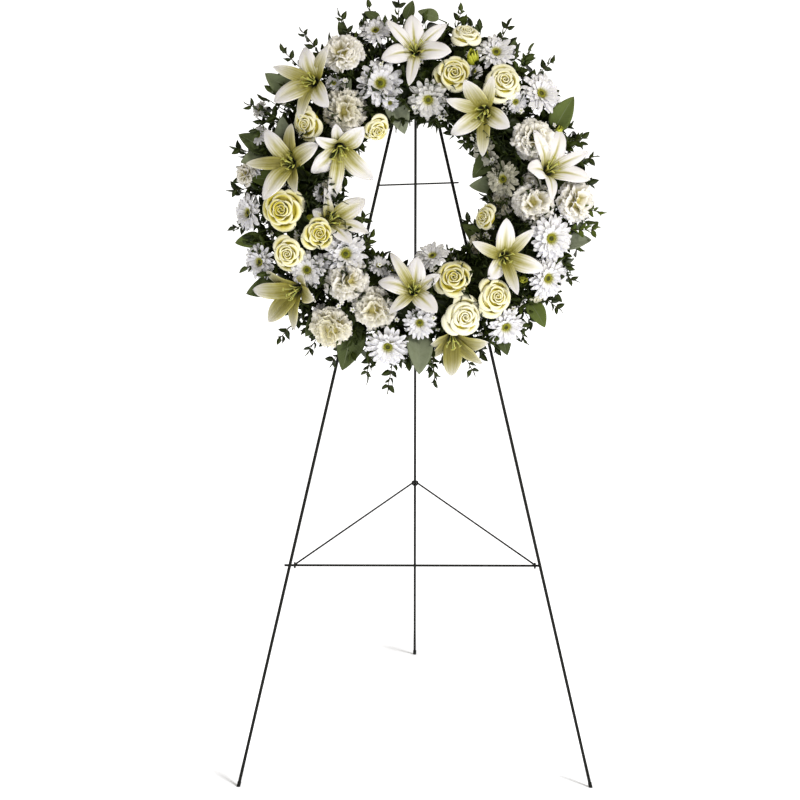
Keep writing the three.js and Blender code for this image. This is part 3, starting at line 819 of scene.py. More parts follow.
def florist_wire_material():
    """Florist wire: thin drawn steel, painted green, rubbed bright in places."""
    made, tree, principled = new_material("florist wire, painted", Roughness=0.4)
    worn = add(tree, "MapRange", specks(tree, 4), 0.3, 0.45, 0.7, 0.0, **SMOOTH)
    shade = add(tree, "Mix", worn, linear("2C4429"), linear("6B7268"), data_type="RGBA")
    dressed(tree, principled, shade, specks(tree, 1), 0.08)
    return made


def tray_material(settings):
    """Tray: injection-moulded green plastic, fine sparkle of the mould's etched skin."""
    made, tree, principled = new_material("tray plastic, moulded")
    shade = add(tree, "Mix", specks(tree, 40), settings.tray, linear("264A28"), data_type="RGBA")
    rough = add(tree, "MapRange", specks(tree, 2), 0.0, 1.0, 0.38, 0.56)
    tree.links.new(rough, principled.inputs["Roughness"])
    dressed(tree, principled, shade, specks(tree, 0.8), 0.1)
    return made


def foam_material(settings):
    """Wet floral foam: a crumbly open-cell block, dark green where it is soaked. Its cells are drawn
    1.6 mm across, because real ones are too fine to show."""
    made, tree, principled = new_material("wet foam, open cell", Roughness=0.92)
    place = add(tree, "TexCoord", output="Object")
    cells = add(tree, "TexVoronoi", place, 1 / (1.6 * MM))
    soaked = add(tree, "Mix", specks(tree, 22), settings.foam, linear("1C2E16"), data_type="RGBA")
    # Painted shade darkens the hollow of each cell.
    pit_shade = add(tree, "MapRange", cells, 0.0, 0.35, 0.6, 0.0, **SMOOTH)
    shade = add(tree, "Mix", pit_shade, soaked, linear("0F1A0A"), data_type="RGBA")
    dressed(tree, principled, shade, cells, 0.8)
    return made


# ---- Making pieces ----
def settings_now():
    return bpy.context.scene.funeral_wreath


def green_stem():
    """The finish of all stems and calyxes, made once."""
    return bpy.data.materials.get("green stem, waxy") or stem_material(settings_now().foliage)


def small_leaf():
    """The finish of all small leaves, made once."""
    return bpy.data.materials.get("small leaf, glossy") or small_leaf_material(settings_now().foliage)


def piece(name, shape, materials, nodes=()):
    """An object from a shape on the wreath's axes, riding with the front frame."""
    shape = placed(shape, WREATH)
    thing = mesh_object(name, shape, materials)
    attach(thing, "front_frame")
    if nodes:
        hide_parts(*nodes)
    return thing


def frame_of(spot):
    """A spot's root in the foam, the way its stem leaves it, its head's place and the way it faces."""
    root = in_foam(spot.clock)
    out = leaning(spot.clock, spot.lean)
    tilt = spot.lean * NOD if spot.tilt is None else spot.tilt
    face = leaning(spot.clock if spot.toward is None else spot.toward, tilt)
    return root, out, root + out * spot.reach, face


def flower(name, spot, head, neck, materials):
    """A head on its stem, as one piece. The stem goes in neck below the head, and has the last finish."""
    root, out, place, face = frame_of(spot)
    top = place - face * neck * spot.size
    rise = max((top - root).length * 0.55, FOAM_HALF_WIDTH)
    path = bowed(root + out * STEM_DEPTH, root + out * rise, top + face * 2)
    stem = finished(tube(path, STEM_RADIUS, 8), len(materials) - 1)
    matrix = standing(place, face, spot.spin) @ Matrix.Scale(spot.size, 4)
    whole = joined([placed(head, matrix), stem])
    return piece(name, whole, materials, [spot.node] if spot.node else [])


def model_flowers(kind, spots, head, settings, materials, neck, seed):
    """One piece for each spot, all different but always the same."""
    for i, spot in enumerate(spots):
        dice = random.Random(seed * 100 + i)
        flower(f"{kind}_{i + 1:02d}", spot, head(settings, spot, dice), neck, materials)


def jolt(size, dice):
    return Vector([dice.uniform(-size, size) for _ in range(3)])


# ---- Flower heads, each on the Z axis and facing up it ----
# Thicknesses, a little more than real ones so that no edge is lost.
LILY_WALL, ROSE_WALL, CARNATION_WALL, MUM_WALL, BUD_WALL, SEPAL_WALL = 0.7, 0.8, 0.4, 0.4, 0.6, 0.6
LEAF_WALL, SMALL_LEAF_WALL, BLOSSOM_WALL = 0.7, 0.5, 0.35
# Heights and radii of what a head sits on.
LILY_CALYX = ((-9, 2.4), (-3, 4.2), (2, 3.6))
ROSE_HIP = ((-29, 2.6), (-26, 5.0), (-22, 5.6), (-19, 3.0))
CARNATION_CALYX = ((-36, 3.0), (-33, 6.0), (-20, 7.0), (-11, 6.0))
MUM_CALYX = ((-10, 2.4), (-6, 7.0), (-2, 8.0))
BUD_CALYX = ((-4, 2.2), (0, 4.6), (5, 5.0))  # from the foot of the petals
STAMENS = 6
SEPALS = 5
SEPAL_LENGTH, SEPAL_HALF_WIDTH = 26, 5.5
ROSE_CORE = (0.66, 11)  # radius as a share of the rose's, and half height
MUM_ROWS = [  # rays, length as a share of the outer row's, angle off the axis, and radius of the foot
    (19, 1.0, 80, 5.0),
    (17, 0.84, 66, 6.0),
    (13, 0.6, 48, 6.8),
]
FLORETS = 84  # in the disc of a mum
DISC_RADIUS = 6.9
BUD_PETALS = 9


def lily_petal(settings, slim, span, tone, dice):
    """One petal: a narrow claw in the funnel, a broad arching blade and a recurved tip."""
    size = settings.petal_length / MM * span * dice.uniform(0.95, 1.05)
    width = (settings.slim_width if slim else settings.broad_width) / MM / 2 * dice.uniform(0.93, 1.07)
    flare, curl = dice.uniform(40, 54), dice.uniform(10, 62)
    wave, phase, waves = dice.uniform(1.2, 2.9), dice.uniform(0, 6), dice.uniform(8, 13)
    twist, bend = dice.uniform(-0.22, 0.22), dice.uniform(-0.09, 0.09)
    cup = dice.uniform(0.2, 0.55)

    def angle_of(v):
        return np.radians(17 + flare * np.minimum(v / 0.6, 1) ** 1.15 + curl * v**3.2)

    def form(u, v):
        # The outline is broadest at the middle and drawn to a point. The foot wraps into a funnel.
        blade = ((1 - v) ** 0.75) * ((v + 0.012) ** 0.82) / 0.335
        half = np.maximum(width * blade, 0.3)
        wrap = cup + 1.15 * (1 - v) ** 3 - 0.35 * v**3
        # The margin ruffles and rolls back, and a furrow with a ridge on each side follows the midrib.
        ruffle = wave * np.abs(u) ** 2.6 * np.sin(waves * v + phase + 1.3 * u) * np.sin(math.pi * v)
        furrow = -1.5 * np.exp(-((u / 0.12) ** 2)) + 0.7 * np.exp(-(((np.abs(u) - 0.3) / 0.16) ** 2))
        furrow = furrow * (1 - v) ** 0.7 * np.minimum(v * 6, 1)
        roll = 0.22 * half * u**4 * np.sin(math.pi * v)
        lift = ruffle + furrow - roll + twist * u * half * v
        out, aside, up = trough(size, angle_of, half, wrap, u, v, lift, 2.2 if slim else 1.6)
        return out, aside + bend * size * v**2, up

    return sheet(14, 22, form, tone)


def lily_head(settings, spot, dice):
    """Three broad petals over three slim ones, six filaments with closed anthers, and a style.

    Its finishes are petal, heart and green.
    """
    petals = []
    for k in range(6):
        slim = k % 2 == 1
        tone = min(1.0, spot.tone * dice.uniform(0.7, 1.25) + (0.12 if slim else 0))
        petal = lily_petal(settings, slim, spot.spans[k], tone, dice)
        turn = math.radians(spot.petals[k] + dice.uniform(-3, 3))
        petals.append(spun(raised(petal, 0 if slim else 0.9), turn))
    blades = thickened(joined(petals), LILY_WALL)
    heart = []
    for k in range(STAMENS):
        turn = math.radians(60 * k + 30 + dice.uniform(-10, 10))
        reach, rise = dice.uniform(9, 17), dice.uniform(34, 44)
        path = bowed((2, 0, 4), (3, 0, rise * 0.7), (reach, 0, rise), 8)
        filament = tube(path, np.linspace(1.1, 0.6, 8), 6)
        tip = Matrix.Translation((reach, 0, rise + 0.6)) @ Matrix.Rotation(dice.uniform(-0.6, 0.6), 4, "Z")
        anther = placed(ball(2, (1.4, 4.2, 1.2), 1.0), tip)
        heart += [spun(finished(filament, 1), turn), spun(finished(anther, 1), turn)]
    style = tube(bowed((0, 0, 0), (1, 0, 26), (2, 1, 46), 8), np.linspace(1.5, 1.2, 8), 7)
    stigma = placed(ball(2, (2.6, 2.6, 1.5), 1.0), Matrix.Translation((2, 1, 46)))
    heart += [finished(style, 1), finished(stigma, 1)]
    return joined([blades, *heart, finished(turned(LILY_CALYX, 9), 2)])


def rose_petal(settings, t, tone, dice):
    """One petal, from the tight heart (t = 0) to the open outside (t = 1)."""
    radius = settings.radius / MM
    rim = radius * (0.1 + 0.9 * t**1.15) * dice.uniform(0.95, 1.04)
    top = 15 - 3 * t - 12 * t**3.2 + dice.uniform(-1.2, 1.2)
    half_angle = math.radians(104 - 46 * t**0.6) * dice.uniform(0.92, 1.1)
    lip = (1.8 + 6.0 * t**1.2) * dice.uniform(0.8, 1.15)
    curl = (0.5 + 1.55 * t**0.7) * dice.uniform(0.85, 1.1)
    phase, point, lurch = dice.uniform(0, 6), dice.uniform(0.2, 1.3), dice.uniform(1.2, 2.4)
    wall = rim - lip * 0.9

    def form(u, v):
        # The rim is rounded with a small point. The petal climbs a curve to its lip, then rolls over it.
        s = v * (1 - 0.34 * np.abs(u) ** 2.3 + 0.035 * point * np.exp(-((u / 0.2) ** 2))) / 1.03
        b = np.minimum(s / 0.7, 1)
        belly = wall * (1.12 - 0.3 * t)
        ends = [(1.5 + 2 * t, -21), (wall * 0.75 + 3, -17 + 4 * t), (belly, top - 9), (wall, top)]
        weights = [(1 - b) ** 3, 3 * b * (1 - b) ** 2, 3 * b**2 * (1 - b), b**3]
        out = sum(weight * end[0] for weight, end in zip(weights, ends))
        up = sum(weight * end[1] for weight, end in zip(weights, ends))
        turn = np.clip((s - 0.7) / 0.3, 0, 1) * curl
        out = out + lip * np.sin(turn)
        up = up - lip * (1 - np.cos(turn)) + 0.9 * t * np.sin(3 * u + phase) * b
        # Its sides draw in, and one of them stands further out than the other, as in a spiral.
        out = out * (1 - (0.05 + 0.12 * t) * u**2) + lurch * u * b * (1 - 0.4 * t)
        angle = u * half_angle
        return out * np.cos(angle), out * np.sin(angle), up

    return sheet(12, 14, form, tone)


def rose_head(settings, spot, dice):
    """A spiral of petals round a low core of the innermost ones, five sepals and the hip under them.

    Its finishes are petal and green.
    """
    petals = []
    for i in range(settings.petals):
        t = i / (settings.petals - 1)
        petal = rose_petal(settings, t, spot.tone * dice.uniform(0.85, 1.15) * (1.2 - 0.6 * t), dice)
        petals.append(spun(petal, i * GOLDEN_ANGLE + dice.uniform(-0.15, 0.15)))
    blades = thickened(joined(petals), ROSE_WALL)
    share, high = ROSE_CORE
    wide = settings.radius / MM * share
    core = raised(ball(3, (wide, wide, high), spot.tone), -3)
    sepals = []
    for k in range(SEPALS):
        flare = dice.uniform(60, 100)

        def form(u, v):
            half = SEPAL_HALF_WIDTH * np.maximum(1 - v, 0.03) ** 0.8
            return trough(SEPAL_LENGTH, lambda s: np.radians(55 + flare * s), half, 0.5, u, v, 0, 3.0)

        sepals.append(spun(raised(sheet(4, 8, form), -23), math.radians(360 / SEPALS * k)))
    calyx = thickened(joined(sepals), SEPAL_WALL)
    return joined([blades, core, finished(calyx, 1), finished(turned(ROSE_HIP, 10), 1)])


def carnation_petal(settings, lean, tone, dice):
    """One fan-shaped petal that stands at lean, bends over outwards, and has a crimped edge."""
    size = settings.radius / MM * dice.uniform(0.9, 1.06)
    width = size * dice.uniform(0.42, 0.56)
    waves, phase = dice.uniform(0.8, 1.4), dice.uniform(0, 6)
    depth = size * dice.uniform(0.08, 0.15)
    bend = (dice.uniform(45, 85) - 0.25 * lean) * np.clip(0.15 + lean / 45, 0, 1)
    teeth_phase = dice.uniform(0, 6)

    def angle_of(v):
        return np.radians(lean * 0.8 + bend * np.clip((v - 0.35) / 0.65, 0, 1) ** 1.4)

    def form(u, v):
        # A fan with a toothed edge, crimped in coarse folds and in fine ones that deepen to the edge.
        fan = 0.1 + 0.9 * np.clip(v, 0, 1) ** 1.2
        edge = 1 - 0.16 * u**2 + 0.035 * np.sin(19 * u + teeth_phase) * v**4
        crimp = depth * v**1.5 * np.sin(math.pi * waves * u + phase)
        crimp = crimp + depth * 0.38 * v**2.5 * np.sin(3.1 * math.pi * waves * u + 2 * phase)
        return trough(size, angle_of, width * fan, 0.5, u, v * edge, crimp, 0.8)

    return sheet(16, 9, form, tone * (1.1 - lean / 120))


def carnation_head(settings, spot, dice):
    """A dome of crimped petals round a crumpled middle, over a tube-shaped calyx.

    Its finishes are petal and green.
    """
    petals = []
    for i in range(settings.petals):
        lean = math.degrees(math.acos(1 - 1.04 * (i + 0.5) / settings.petals)) + dice.uniform(-5, 5)
        axis = Vector((math.sin(math.radians(lean)), 0, math.cos(math.radians(lean))))
        petal = carnation_petal(settings, lean, spot.tone, dice)
        petal = placed(petal, Matrix.Rotation(dice.uniform(-0.6, 0.6), 4, axis))
        petals.append(spun(raised(petal, -15), i * GOLDEN_ANGLE + dice.uniform(-0.3, 0.3)))
    blades = thickened(joined(petals), CARNATION_WALL)
    crumple = raised(ball(3, (15, 15, 17), 0.1), -10)
    return joined([blades, crumple, finished(turned(CARNATION_CALYX, 10), 1)])


def mum_ray(settings, share, lean, foot, tone, dice):
    """One strap-shaped ray with a blunt, notched tip."""
    size = (settings.radius / MM - foot) * share * dice.uniform(0.92, 1.07) * 1.04
    half = settings.ray_width / MM / 2 * dice.uniform(0.82, 1.1)
    droop, twist = dice.uniform(4, 34), dice.uniform(-1.6, 1.6)
    bend = dice.uniform(-0.08, 0.08)

    def angle_of(v):
        return np.radians(lean - 20 + droop * v**1.5 + 18 * np.minimum(v * 3, 1))

    def form(u, v):
        # A strap that narrows to its foot and rounds off to a small notch at the tip.
        strap = half * (0.42 + 0.58 * np.minimum(v / 0.5, 1) ** 0.8)
        strap = strap * (1 - 0.5 * np.clip((v - 0.78) / 0.22, 0, 1) ** 2)
        edge = 1 - 0.05 * u**2 - 0.05 * np.exp(-((u / 0.3) ** 2)) * (v > 0.9)
        out, aside, up = trough(size, angle_of, strap, 0.95 - 0.5 * v, u, v * edge, twist * u * v, foot)
        return out, aside + bend * size * v**2, up

    return sheet(3, 7, form, tone)


def mum_head(settings, spot, dice):
    """Rows of rays round a bead of florets. Its finishes are ray, disc and green."""
    rays = []
    for row, (count, share, lean, foot) in enumerate(MUM_ROWS):
        for k in range(count):
            ray = mum_ray(settings, share, lean + dice.uniform(-7, 7), foot, spot.tone, dice)
            turn = (k + 0.5 * row + dice.uniform(-0.28, 0.28)) * 2 * math.pi / count
            rays.append(spun(raised(ray, row - 3), turn))
    blades = thickened(joined(rays), MUM_WALL)
    disc = [ball(2, (6.5, 6.5, 2.6), 0.8)]
    for i in range(FLORETS):
        share = math.sqrt((i + 0.5) / FLORETS)
        place = Vector((share * DISC_RADIUS, 0, 3.0 - 3.2 * share**2))
        floret = placed(ball(1, (0.66, 0.66, 1.3), share), Matrix.Translation(place))
        disc.append(spun(floret, i * GOLDEN_ANGLE))
    disc = raised(joined(disc), 0.6)
    return joined([blades, finished(disc, 1), finished(turned(MUM_CALYX, 12), 2)])


def bud_head(settings, _, dice):
    """Wrapped petals that have not opened, on a small calyx. Its finishes are petal and green."""
    size = settings.length / MM
    petals = []
    for i in range(BUD_PETALS):
        t = i / (BUD_PETALS - 1)
        swell = size * (0.12 + 0.07 * t) * dice.uniform(0.95, 1.05)
        flare = 0.02 + 0.1 * t**2

        def form(u, v):
            out = 1.5 + swell * np.sin(math.pi * (0.06 + 0.84 * v) ** 0.9) + flare * size * v**3
            edge = 1 - 0.3 * np.abs(u) ** 2
            angle = u * math.radians(85 - 25 * t) * (1 - 0.55 * v**2)
            up = -size / 2 + size * v * edge * (1 - 0.12 * t)
            return out * np.cos(angle), out * np.sin(angle), up

        petals.append(spun(sheet(6, 8, form, t), i * GOLDEN_ANGLE))
    blades = thickened(joined(petals), BUD_WALL)
    calyx = turned([(rise - size / 2, radius) for rise, radius in BUD_CALYX], 9)
    return joined([blades, finished(calyx, 1)])


# ---- Leaves ----
def leaf_blade(size, width, arch, fold, dice, across=6, along=12, tone=0.5):
    """A leaf that grows along X with its face up Z: pointed oval, folded at the midrib and arched."""
    wave, phase = dice.uniform(0.2, 1.0), dice.uniform(0, 6)

    def angle_of(v):
        return np.radians(90 - arch / 2 + arch * v)

    def form(u, v):
        # Broadest below the middle. Both halves rise from the midrib, and the margin waves.
        oval = np.sin(math.pi * np.clip(v, 0, 1) ** 0.8) ** 0.75 * (1 - 0.25 * v)
        half = np.maximum(width / 2 * oval * 1.12, 0.3)
        lift = fold * np.abs(u) * half + wave * u**2 * np.sin(10 * v + phase + 2 * u)
        return trough(size, angle_of, half, 0.15, u, v, lift)

    return sheet(across, along, form, tone)


def broad_leaf(settings, tone, size, dice):
    """A leathery leaf on its stalk. Its finishes are face, back and green."""
    length, width = settings.leaf_length / MM * size, settings.leaf_width / MM * size
    blade = leaf_blade(length, width, dice.uniform(20, 55), 0.22, dice, 8, 14, tone)
    blade = thickened(blade, LEAF_WALL, underside=1)
    stalk = tube(bowed((-16, 0, -3), (-6, 0, -1), (10, 0, 0.4), 5), [1.3, 1.1, 1.0, 0.9, 0.6], 6)
    return joined([blade, finished(stalk, 2)])


def twig(path, pairs, leaf, tone, dice, bare=0.3):
    """A stem with small leaves in crossed pairs and one at its tip: the open leaves, and the stem.

    leaf is a leaf's length and width, and bare is the share of the stem below the first pair.
    """
    path = np.array(path)
    leaves = []
    steps = np.linspace(bare, 0.97, pairs)
    spots = [(s, side) for s in steps for side in (-1, 1)] + [(1.0, 0)]
    for i, (s, side) in enumerate(spots):
        step = s * (len(path) - 1)
        k = min(int(step), len(path) - 2)
        place = Vector(path[k] + (path[k + 1] - path[k]) * (step - k))
        ahead = Vector(path[k + 1] - path[k]).normalized()
        across = ahead.cross(Vector((0.2, 0.1, 1.0))).normalized()
        roll = Matrix.Rotation(math.pi / 2 * (i // 2 % 2) * 0.7 + dice.uniform(-0.4, 0.4), 3, ahead)
        sideways = roll @ across * (side if side else dice.uniform(-0.3, 0.3))
        grow = (ahead * dice.uniform(0.5, 0.9) + sideways * 0.9).normalized()
        up = square_to(roll @ across.cross(ahead) * -1 + Vector((0, 0, 0.6)), grow)
        length = leaf[0] * dice.uniform(0.75, 1.15)
        width = leaf[1] * length / leaf[0]
        arch, own = dice.uniform(10, 50), min(1, max(0, tone + dice.uniform(-0.15, 0.15)))
        blade = leaf_blade(length, width, arch, 0.25, dice, 2, 4, own)
        leaves.append(placed(blade, on_axes(grow, up, place)))
    stem = tube(path, np.linspace(1.2, 0.75, len(path)), 5)
    return joined(leaves), stem


LEAVES = [  # clock, radius and height of the blade's middle, the way it points, its size and its tone
    (86, 312, 60, 160, 0.6, 0.7, "leaf_1"),
    (141, 308, 62, 150, 0.95, 0.75, "leaf_2"),
    (163, 300, 60, 150, 0.9, 0.1, "leaf_3"),
    (212, 315, 58, 200, 1.05, 0.15, "leaf_4"),
    (315, 304, 66, 300, 0.85, 0.5, "leaf_5"),
    (28, 294, 80, 60, 1.05, 0.6, "leaf_6"),
    (196, 306, 56, 190, 0.75, 0.45, None),
    (246, 292, 62, 258, 1.45, 0.0, None),
    (271, 282, 76, 273, 1.25, 0.85, None),
    (301, 300, 60, 285, 0.9, 0.05, None),
    (343, 298, 70, 10, 0.8, 0.95, None),
    (56, 302, 58, 75, 0.6, 0.1, None),
    (103, 137, 74, 290, 1.1, 1.0, None),
    (8, 122, 56, 190, 0.9, 0.8, None),
    (327, 128, 55, 150, 0.9, 0.3, None),
    (206, 122, 52, 20, 0.8, 0.25, None),
    (175, 262, 60, 180, 1.0, 0.5, None),
    (70, 262, 66, 60, 0.9, 0.2, None),
    (240, 262, 66, 235, 1.0, 0.15, None),
    (5, 262, 70, 350, 1.0, 0.2, None),
    (155, 252, 72, 100, 0.9, 0.9, None),
    (126, 214, 84, 60, 0.85, 0.85, None),
    (232, 294, 60, 240, 0.8, 0.02, None),
    (168, 290, 62, 200, 0.8, 0.8, None),
    (225, 205, 80, 40, 0.8, 0.3, None),
    (314, 190, 80, 130, 0.8, 0.2, None),
    (62, 205, 80, 20, 0.8, 0.15, None),
    (92, 320, 60, 70, 0.55, 0.05, None),
    (104, 318, 60, 150, 0.5, 0.05, None),
    (114, 314, 60, 120, 0.5, 0.05, None),
    (22, 128, 60, 230, 0.9, 0.1, None),
]
SPRIGS = [  # clock, radius and height of the tip, pairs of leaves and tone
    (133, 338, 58, 2, 0.1),
    (125, 342, 62, 3, 0.05),
    (113, 332, 70, 3, 0.1),
    (104, 334, 60, 2, 0.15),
    (95, 330, 60, 3, 0.1),
    (76, 328, 55, 2, 0.25),
    (61, 332, 70, 3, 0.05),
    (51, 318, 62, 2, 0.3),
    (44, 328, 62, 4, 0.15),
    (18, 306, 70, 2, 0.3),
    (11, 312, 84, 3, 0.1),
    (354, 318, 84, 6, 0.75),
    (348, 318, 90, 5, 0.6),
    (331, 316, 62, 3, 0.05),
    (321, 322, 66, 3, 0.05),
    (307, 318, 60, 2, 0.1),
    (288, 330, 55, 3, 0.05),
    (276, 330, 62, 4, 0.05),
    (262, 346, 55, 5, 0.05),
    (255, 330, 60, 3, 0.05),
    (244, 330, 60, 3, 0.05),
    (236, 334, 60, 3, 0.05),
    (227, 348, 55, 4, 0.05),
    (204, 322, 55, 2, 0.15),
    (191, 322, 60, 2, 0.1),
    (179, 318, 55, 3, 0.05),
    (166, 322, 55, 3, 0.15),
    (152, 330, 58, 3, 0.1),
    (206, 100, 60, 3, 0.15),
    (332, 104, 60, 3, 0.15),
    (46, 122, 60, 3, 0.2),
    (225, 112, 66, 4, 0.4),
    (160, 125, 55, 3, 0.2),
    (300, 118, 60, 3, 0.35),
    (75, 126, 66, 3, 0.2),
    (185, 205, 96, 3, 0.5),
    (136, 232, 96, 4, 0.6),
    (20, 190, 90, 3, 0.45),
    (245, 200, 90, 3, 0.5),
    (318, 235, 90, 3, 0.15),
    (97, 262, 92, 3, 0.6),
    (242, 135, 70, 4, 0.35),
]
BED_SECTORS = 6
BED_ROWS = (-82, -62, -42, -20, 0, 20, 42, 62, 82)  # leans of the rows of filler twigs
BED_STEP = 8  # degrees of clock between filler twigs
BED_FOOT, FRINGE_FOOT = 24, 40  # from the middle of the foam to where a twig starts
FRINGE_ROWS = (71, 79, 87)  # leans of the longer twigs round the outside
FRINGE_STEP = 6
# Lean and reach of the rows of leaves laid on the foam, and of those behind the outer flowers.
CARPET_ROWS = ((-88, 44), (-55, 44), (-20, 44), (20, 44), (55, 44), (88, 48), (80, 72), (84, 88), (86, 104))
CARPET_STEP = 6
BLOSSOM_ROWS = (-40, 25, 62, 84)  # leans of the rows of tiny blossoms
BLOSSOM_STEP = 10
BLOSSOM_PETALS = 5
CLOSED_SHARE = 0.3  # of the tiny blossoms
LOWEST = 12  # foliage keeps this far in front of the legs
SPRIG_LEAF = (17, 9.5)  # lengths and widths of the leaves
BED_LEAF = (23, 12.5)
FRINGE_LEAF = (20, 10.5)
CARPET_LEAF = (46, 27)


# ---- Operators ----
LEAF_SEED, SPRIG_SEED, BED_SEED = 600, 700, 800


class WreathOperator:
    bl_options = {"REGISTER", "UNDO"}


class WREATH_OT_lilies(WreathOperator, bpy.types.Operator):
    """Model the open lilies"""

    bl_idname = "wreath.lilies"
    bl_label = "Lilies"

    def execute(self, context):
        settings = settings_now().lilies
        materials = [lily_petal_material(settings), lily_heart_material(), green_stem()]
        model_flowers("lily_bloom", LILIES, lily_head, settings, materials, neck=8, seed=1)
        return {"FINISHED"}


class WREATH_OT_roses(WreathOperator, bpy.types.Operator):
    """Model the roses"""

    bl_idname = "wreath.roses"
    bl_label = "Roses"

    def execute(self, context):
        settings = settings_now().roses
        materials = [rose_petal_material(settings), green_stem()]
        model_flowers("rose_bloom", ROSES, rose_head, settings, materials, neck=28, seed=2)
        return {"FINISHED"}


class WREATH_OT_carnations(WreathOperator, bpy.types.Operator):
    """Model the carnations"""

    bl_idname = "wreath.carnations"
    bl_label = "Carnations"

    def execute(self, context):
        settings = settings_now().carnations
        materials = [carnation_petal_material(settings), green_stem()]
        model_flowers(
            "carnation_bloom", CARNATIONS, carnation_head, settings, materials,
            neck=35, seed=3,
        )
        return {"FINISHED"}


class WREATH_OT_mums(WreathOperator, bpy.types.Operator):
    """Model the daisy mums"""

    bl_idname = "wreath.mums"
    bl_label = "Daisy mums"

    def execute(self, context):
        settings = settings_now().mums
        materials = [mum_ray_material(settings), mum_disc_material(settings), green_stem()]
        model_flowers("mum_bloom", MUMS, mum_head, settings, materials, neck=9, seed=4)
        return {"FINISHED"}


class WREATH_OT_buds(WreathOperator, bpy.types.Operator):
    """Model the closed buds"""

    bl_idname = "wreath.buds"
    bl_label = "Buds"

    def execute(self, context):
        settings = settings_now().buds
        materials = [bud_material(settings), green_stem()]
        model_flowers("closed_bud", BUDS, bud_head, settings, materials, neck=22, seed=5)
        return {"FINISHED"}


class WREATH_OT_leaves(WreathOperator, bpy.types.Operator):
    """Model the broad leaves"""

    bl_idname = "wreath.leaves"
    bl_label = "Broad leaves"

    def execute(self, context):
        settings = settings_now().foliage
        materials = [
            leaf_material("leaf face, leathery", 0.5, (settings.deep, settings.fresh, settings.grey)),
            leaf_material("leaf back, matt", 0.75, (linear("46502C"), linear("5E6C30"), linear("868C78"))),
            green_stem(),
        ]
        for i, (clock, radius, height, points, size, tone, node) in enumerate(LEAVES):
            dice = random.Random(LEAF_SEED + i)
            grow = leaning(points, dice.uniform(68, 88))
            up = square_to(Vector((0, 0, 1)) + ring_direction(dice.uniform(0, 360)) * 0.35, grow)
            foot = at(clock, radius, height) - grow * settings.leaf_length / MM * size * 0.5
            matrix = on_axes(grow, up, foot)
            blade = placed(broad_leaf(settings, tone, size, dice), matrix)
            root = in_foam(clock)
            start = matrix @ Vector((-15, 0, -3))
            stem = finished(tube(bowed(root, (root + start) / 2 - Vector((0, 0, 6)), start, 6), 1.4, 6), 2)
            whole = joined([blade, stem])
            piece(f"broad_leaf_{i + 1:02d}", whole, materials, [node] if node else [])
        return {"FINISHED"}


class WREATH_OT_sprigs(WreathOperator, bpy.types.Operator):
    """Model the sprigs that stand out round the edge"""

    bl_idname = "wreath.sprigs"
    bl_label = "Sprigs"

    def execute(self, context):
        materials = [small_leaf(), twig_material()]
        for i, (clock, radius, height, pairs, tone) in enumerate(SPRIGS):
            dice = random.Random(SPRIG_SEED + i)
            root, tip = in_foam(clock + dice.uniform(-6, 6)), at(clock, radius, height)
            control = (root + tip) / 2 + Vector((0, 0, dice.uniform(8, 26)))
            path = bowed(root, control + ring_direction(clock + 90) * dice.uniform(-14, 14), tip, 10)
            leaves, stem = twig(path, pairs + 2, SPRIG_LEAF, tone, dice, 0.93 - 0.075 * (pairs + 1))
            whole = joined([thickened(leaves, SMALL_LEAF_WALL), finished(stem, 1)])
            piece(f"sprig_{i + 1:02d}", whole, materials)
        return {"FINISHED"}


def tiny_blossom(dice):
    """A filler blossom: five cupped petals round a bead, or a closed bud, facing up Z."""
    if dice.random() < CLOSED_SHARE:
        return ball(1, (1.7, 1.7, 2.6), 0.5)
    opening, size = dice.uniform(35, 75), dice.uniform(4.6, 6.4)

    def angle_of(v):
        return np.radians(opening * np.minimum(v * 2, 1) + 20)

    def form(u, v):
        half = 2.4 * np.sin(math.pi * np.clip(0.12 + 0.8 * v, 0, 1)) ** 0.7
        return trough(size, angle_of, half, 0.7, u, v, 0, 0.5)

    petal = sheet(1, 2, form, 0)
    turns = [math.radians(360 / BLOSSOM_PETALS * k) for k in range(BLOSSOM_PETALS)]
    petals = thickened(joined([spun(petal, turn) for turn in turns]), BLOSSOM_WALL)
    return joined([petals, raised(ball(1, (1.2, 1.2, 0.9), 1.0), 1.2)])


def on_bed(clock, lean, reach):
    """A place at a reach from the middle of the foam, kept in front of the legs."""
    place = in_foam(clock) + leaning(clock, lean) * reach
    place.z = max(place.z, LOWEST)
    return place


def filler_twig(clock, lean, foot, reach, leaf, pairs, young, dice):
    """A twig out of the foam at a lean, from foot to reach. Its tone is young at most."""
    drift = ring_direction(clock + 90) * dice.uniform(-14, 14)
    start, middle, tip = [on_bed(clock, lean, distance) for distance in (foot, reach * 0.6, reach)]
    path = bowed(start, middle, tip + drift, pairs + 2)
    return twig(path, pairs, leaf, dice.uniform(0, young) ** 1.5, dice)


def carpet_leaf(clock, lean, reach, dice):
    """A leaf laid on the foam or behind the outer flowers."""
    up = (leaning(clock, lean) + jolt(0.25, dice)).normalized()
    ahead = leaning(clock, lean + 90) * dice.choice((-1, 1))
    grow = square_to(ahead + ring_direction(clock + 90) * dice.uniform(-1.5, 1.5), up)
    matrix = on_axes(grow, up, on_bed(clock, lean, reach) - grow * 22)
    blade = leaf_blade(*CARPET_LEAF, dice.uniform(20, 60), 0.2, dice, 4, 8, dice.uniform(0, 0.25))
    return placed(blade, matrix)


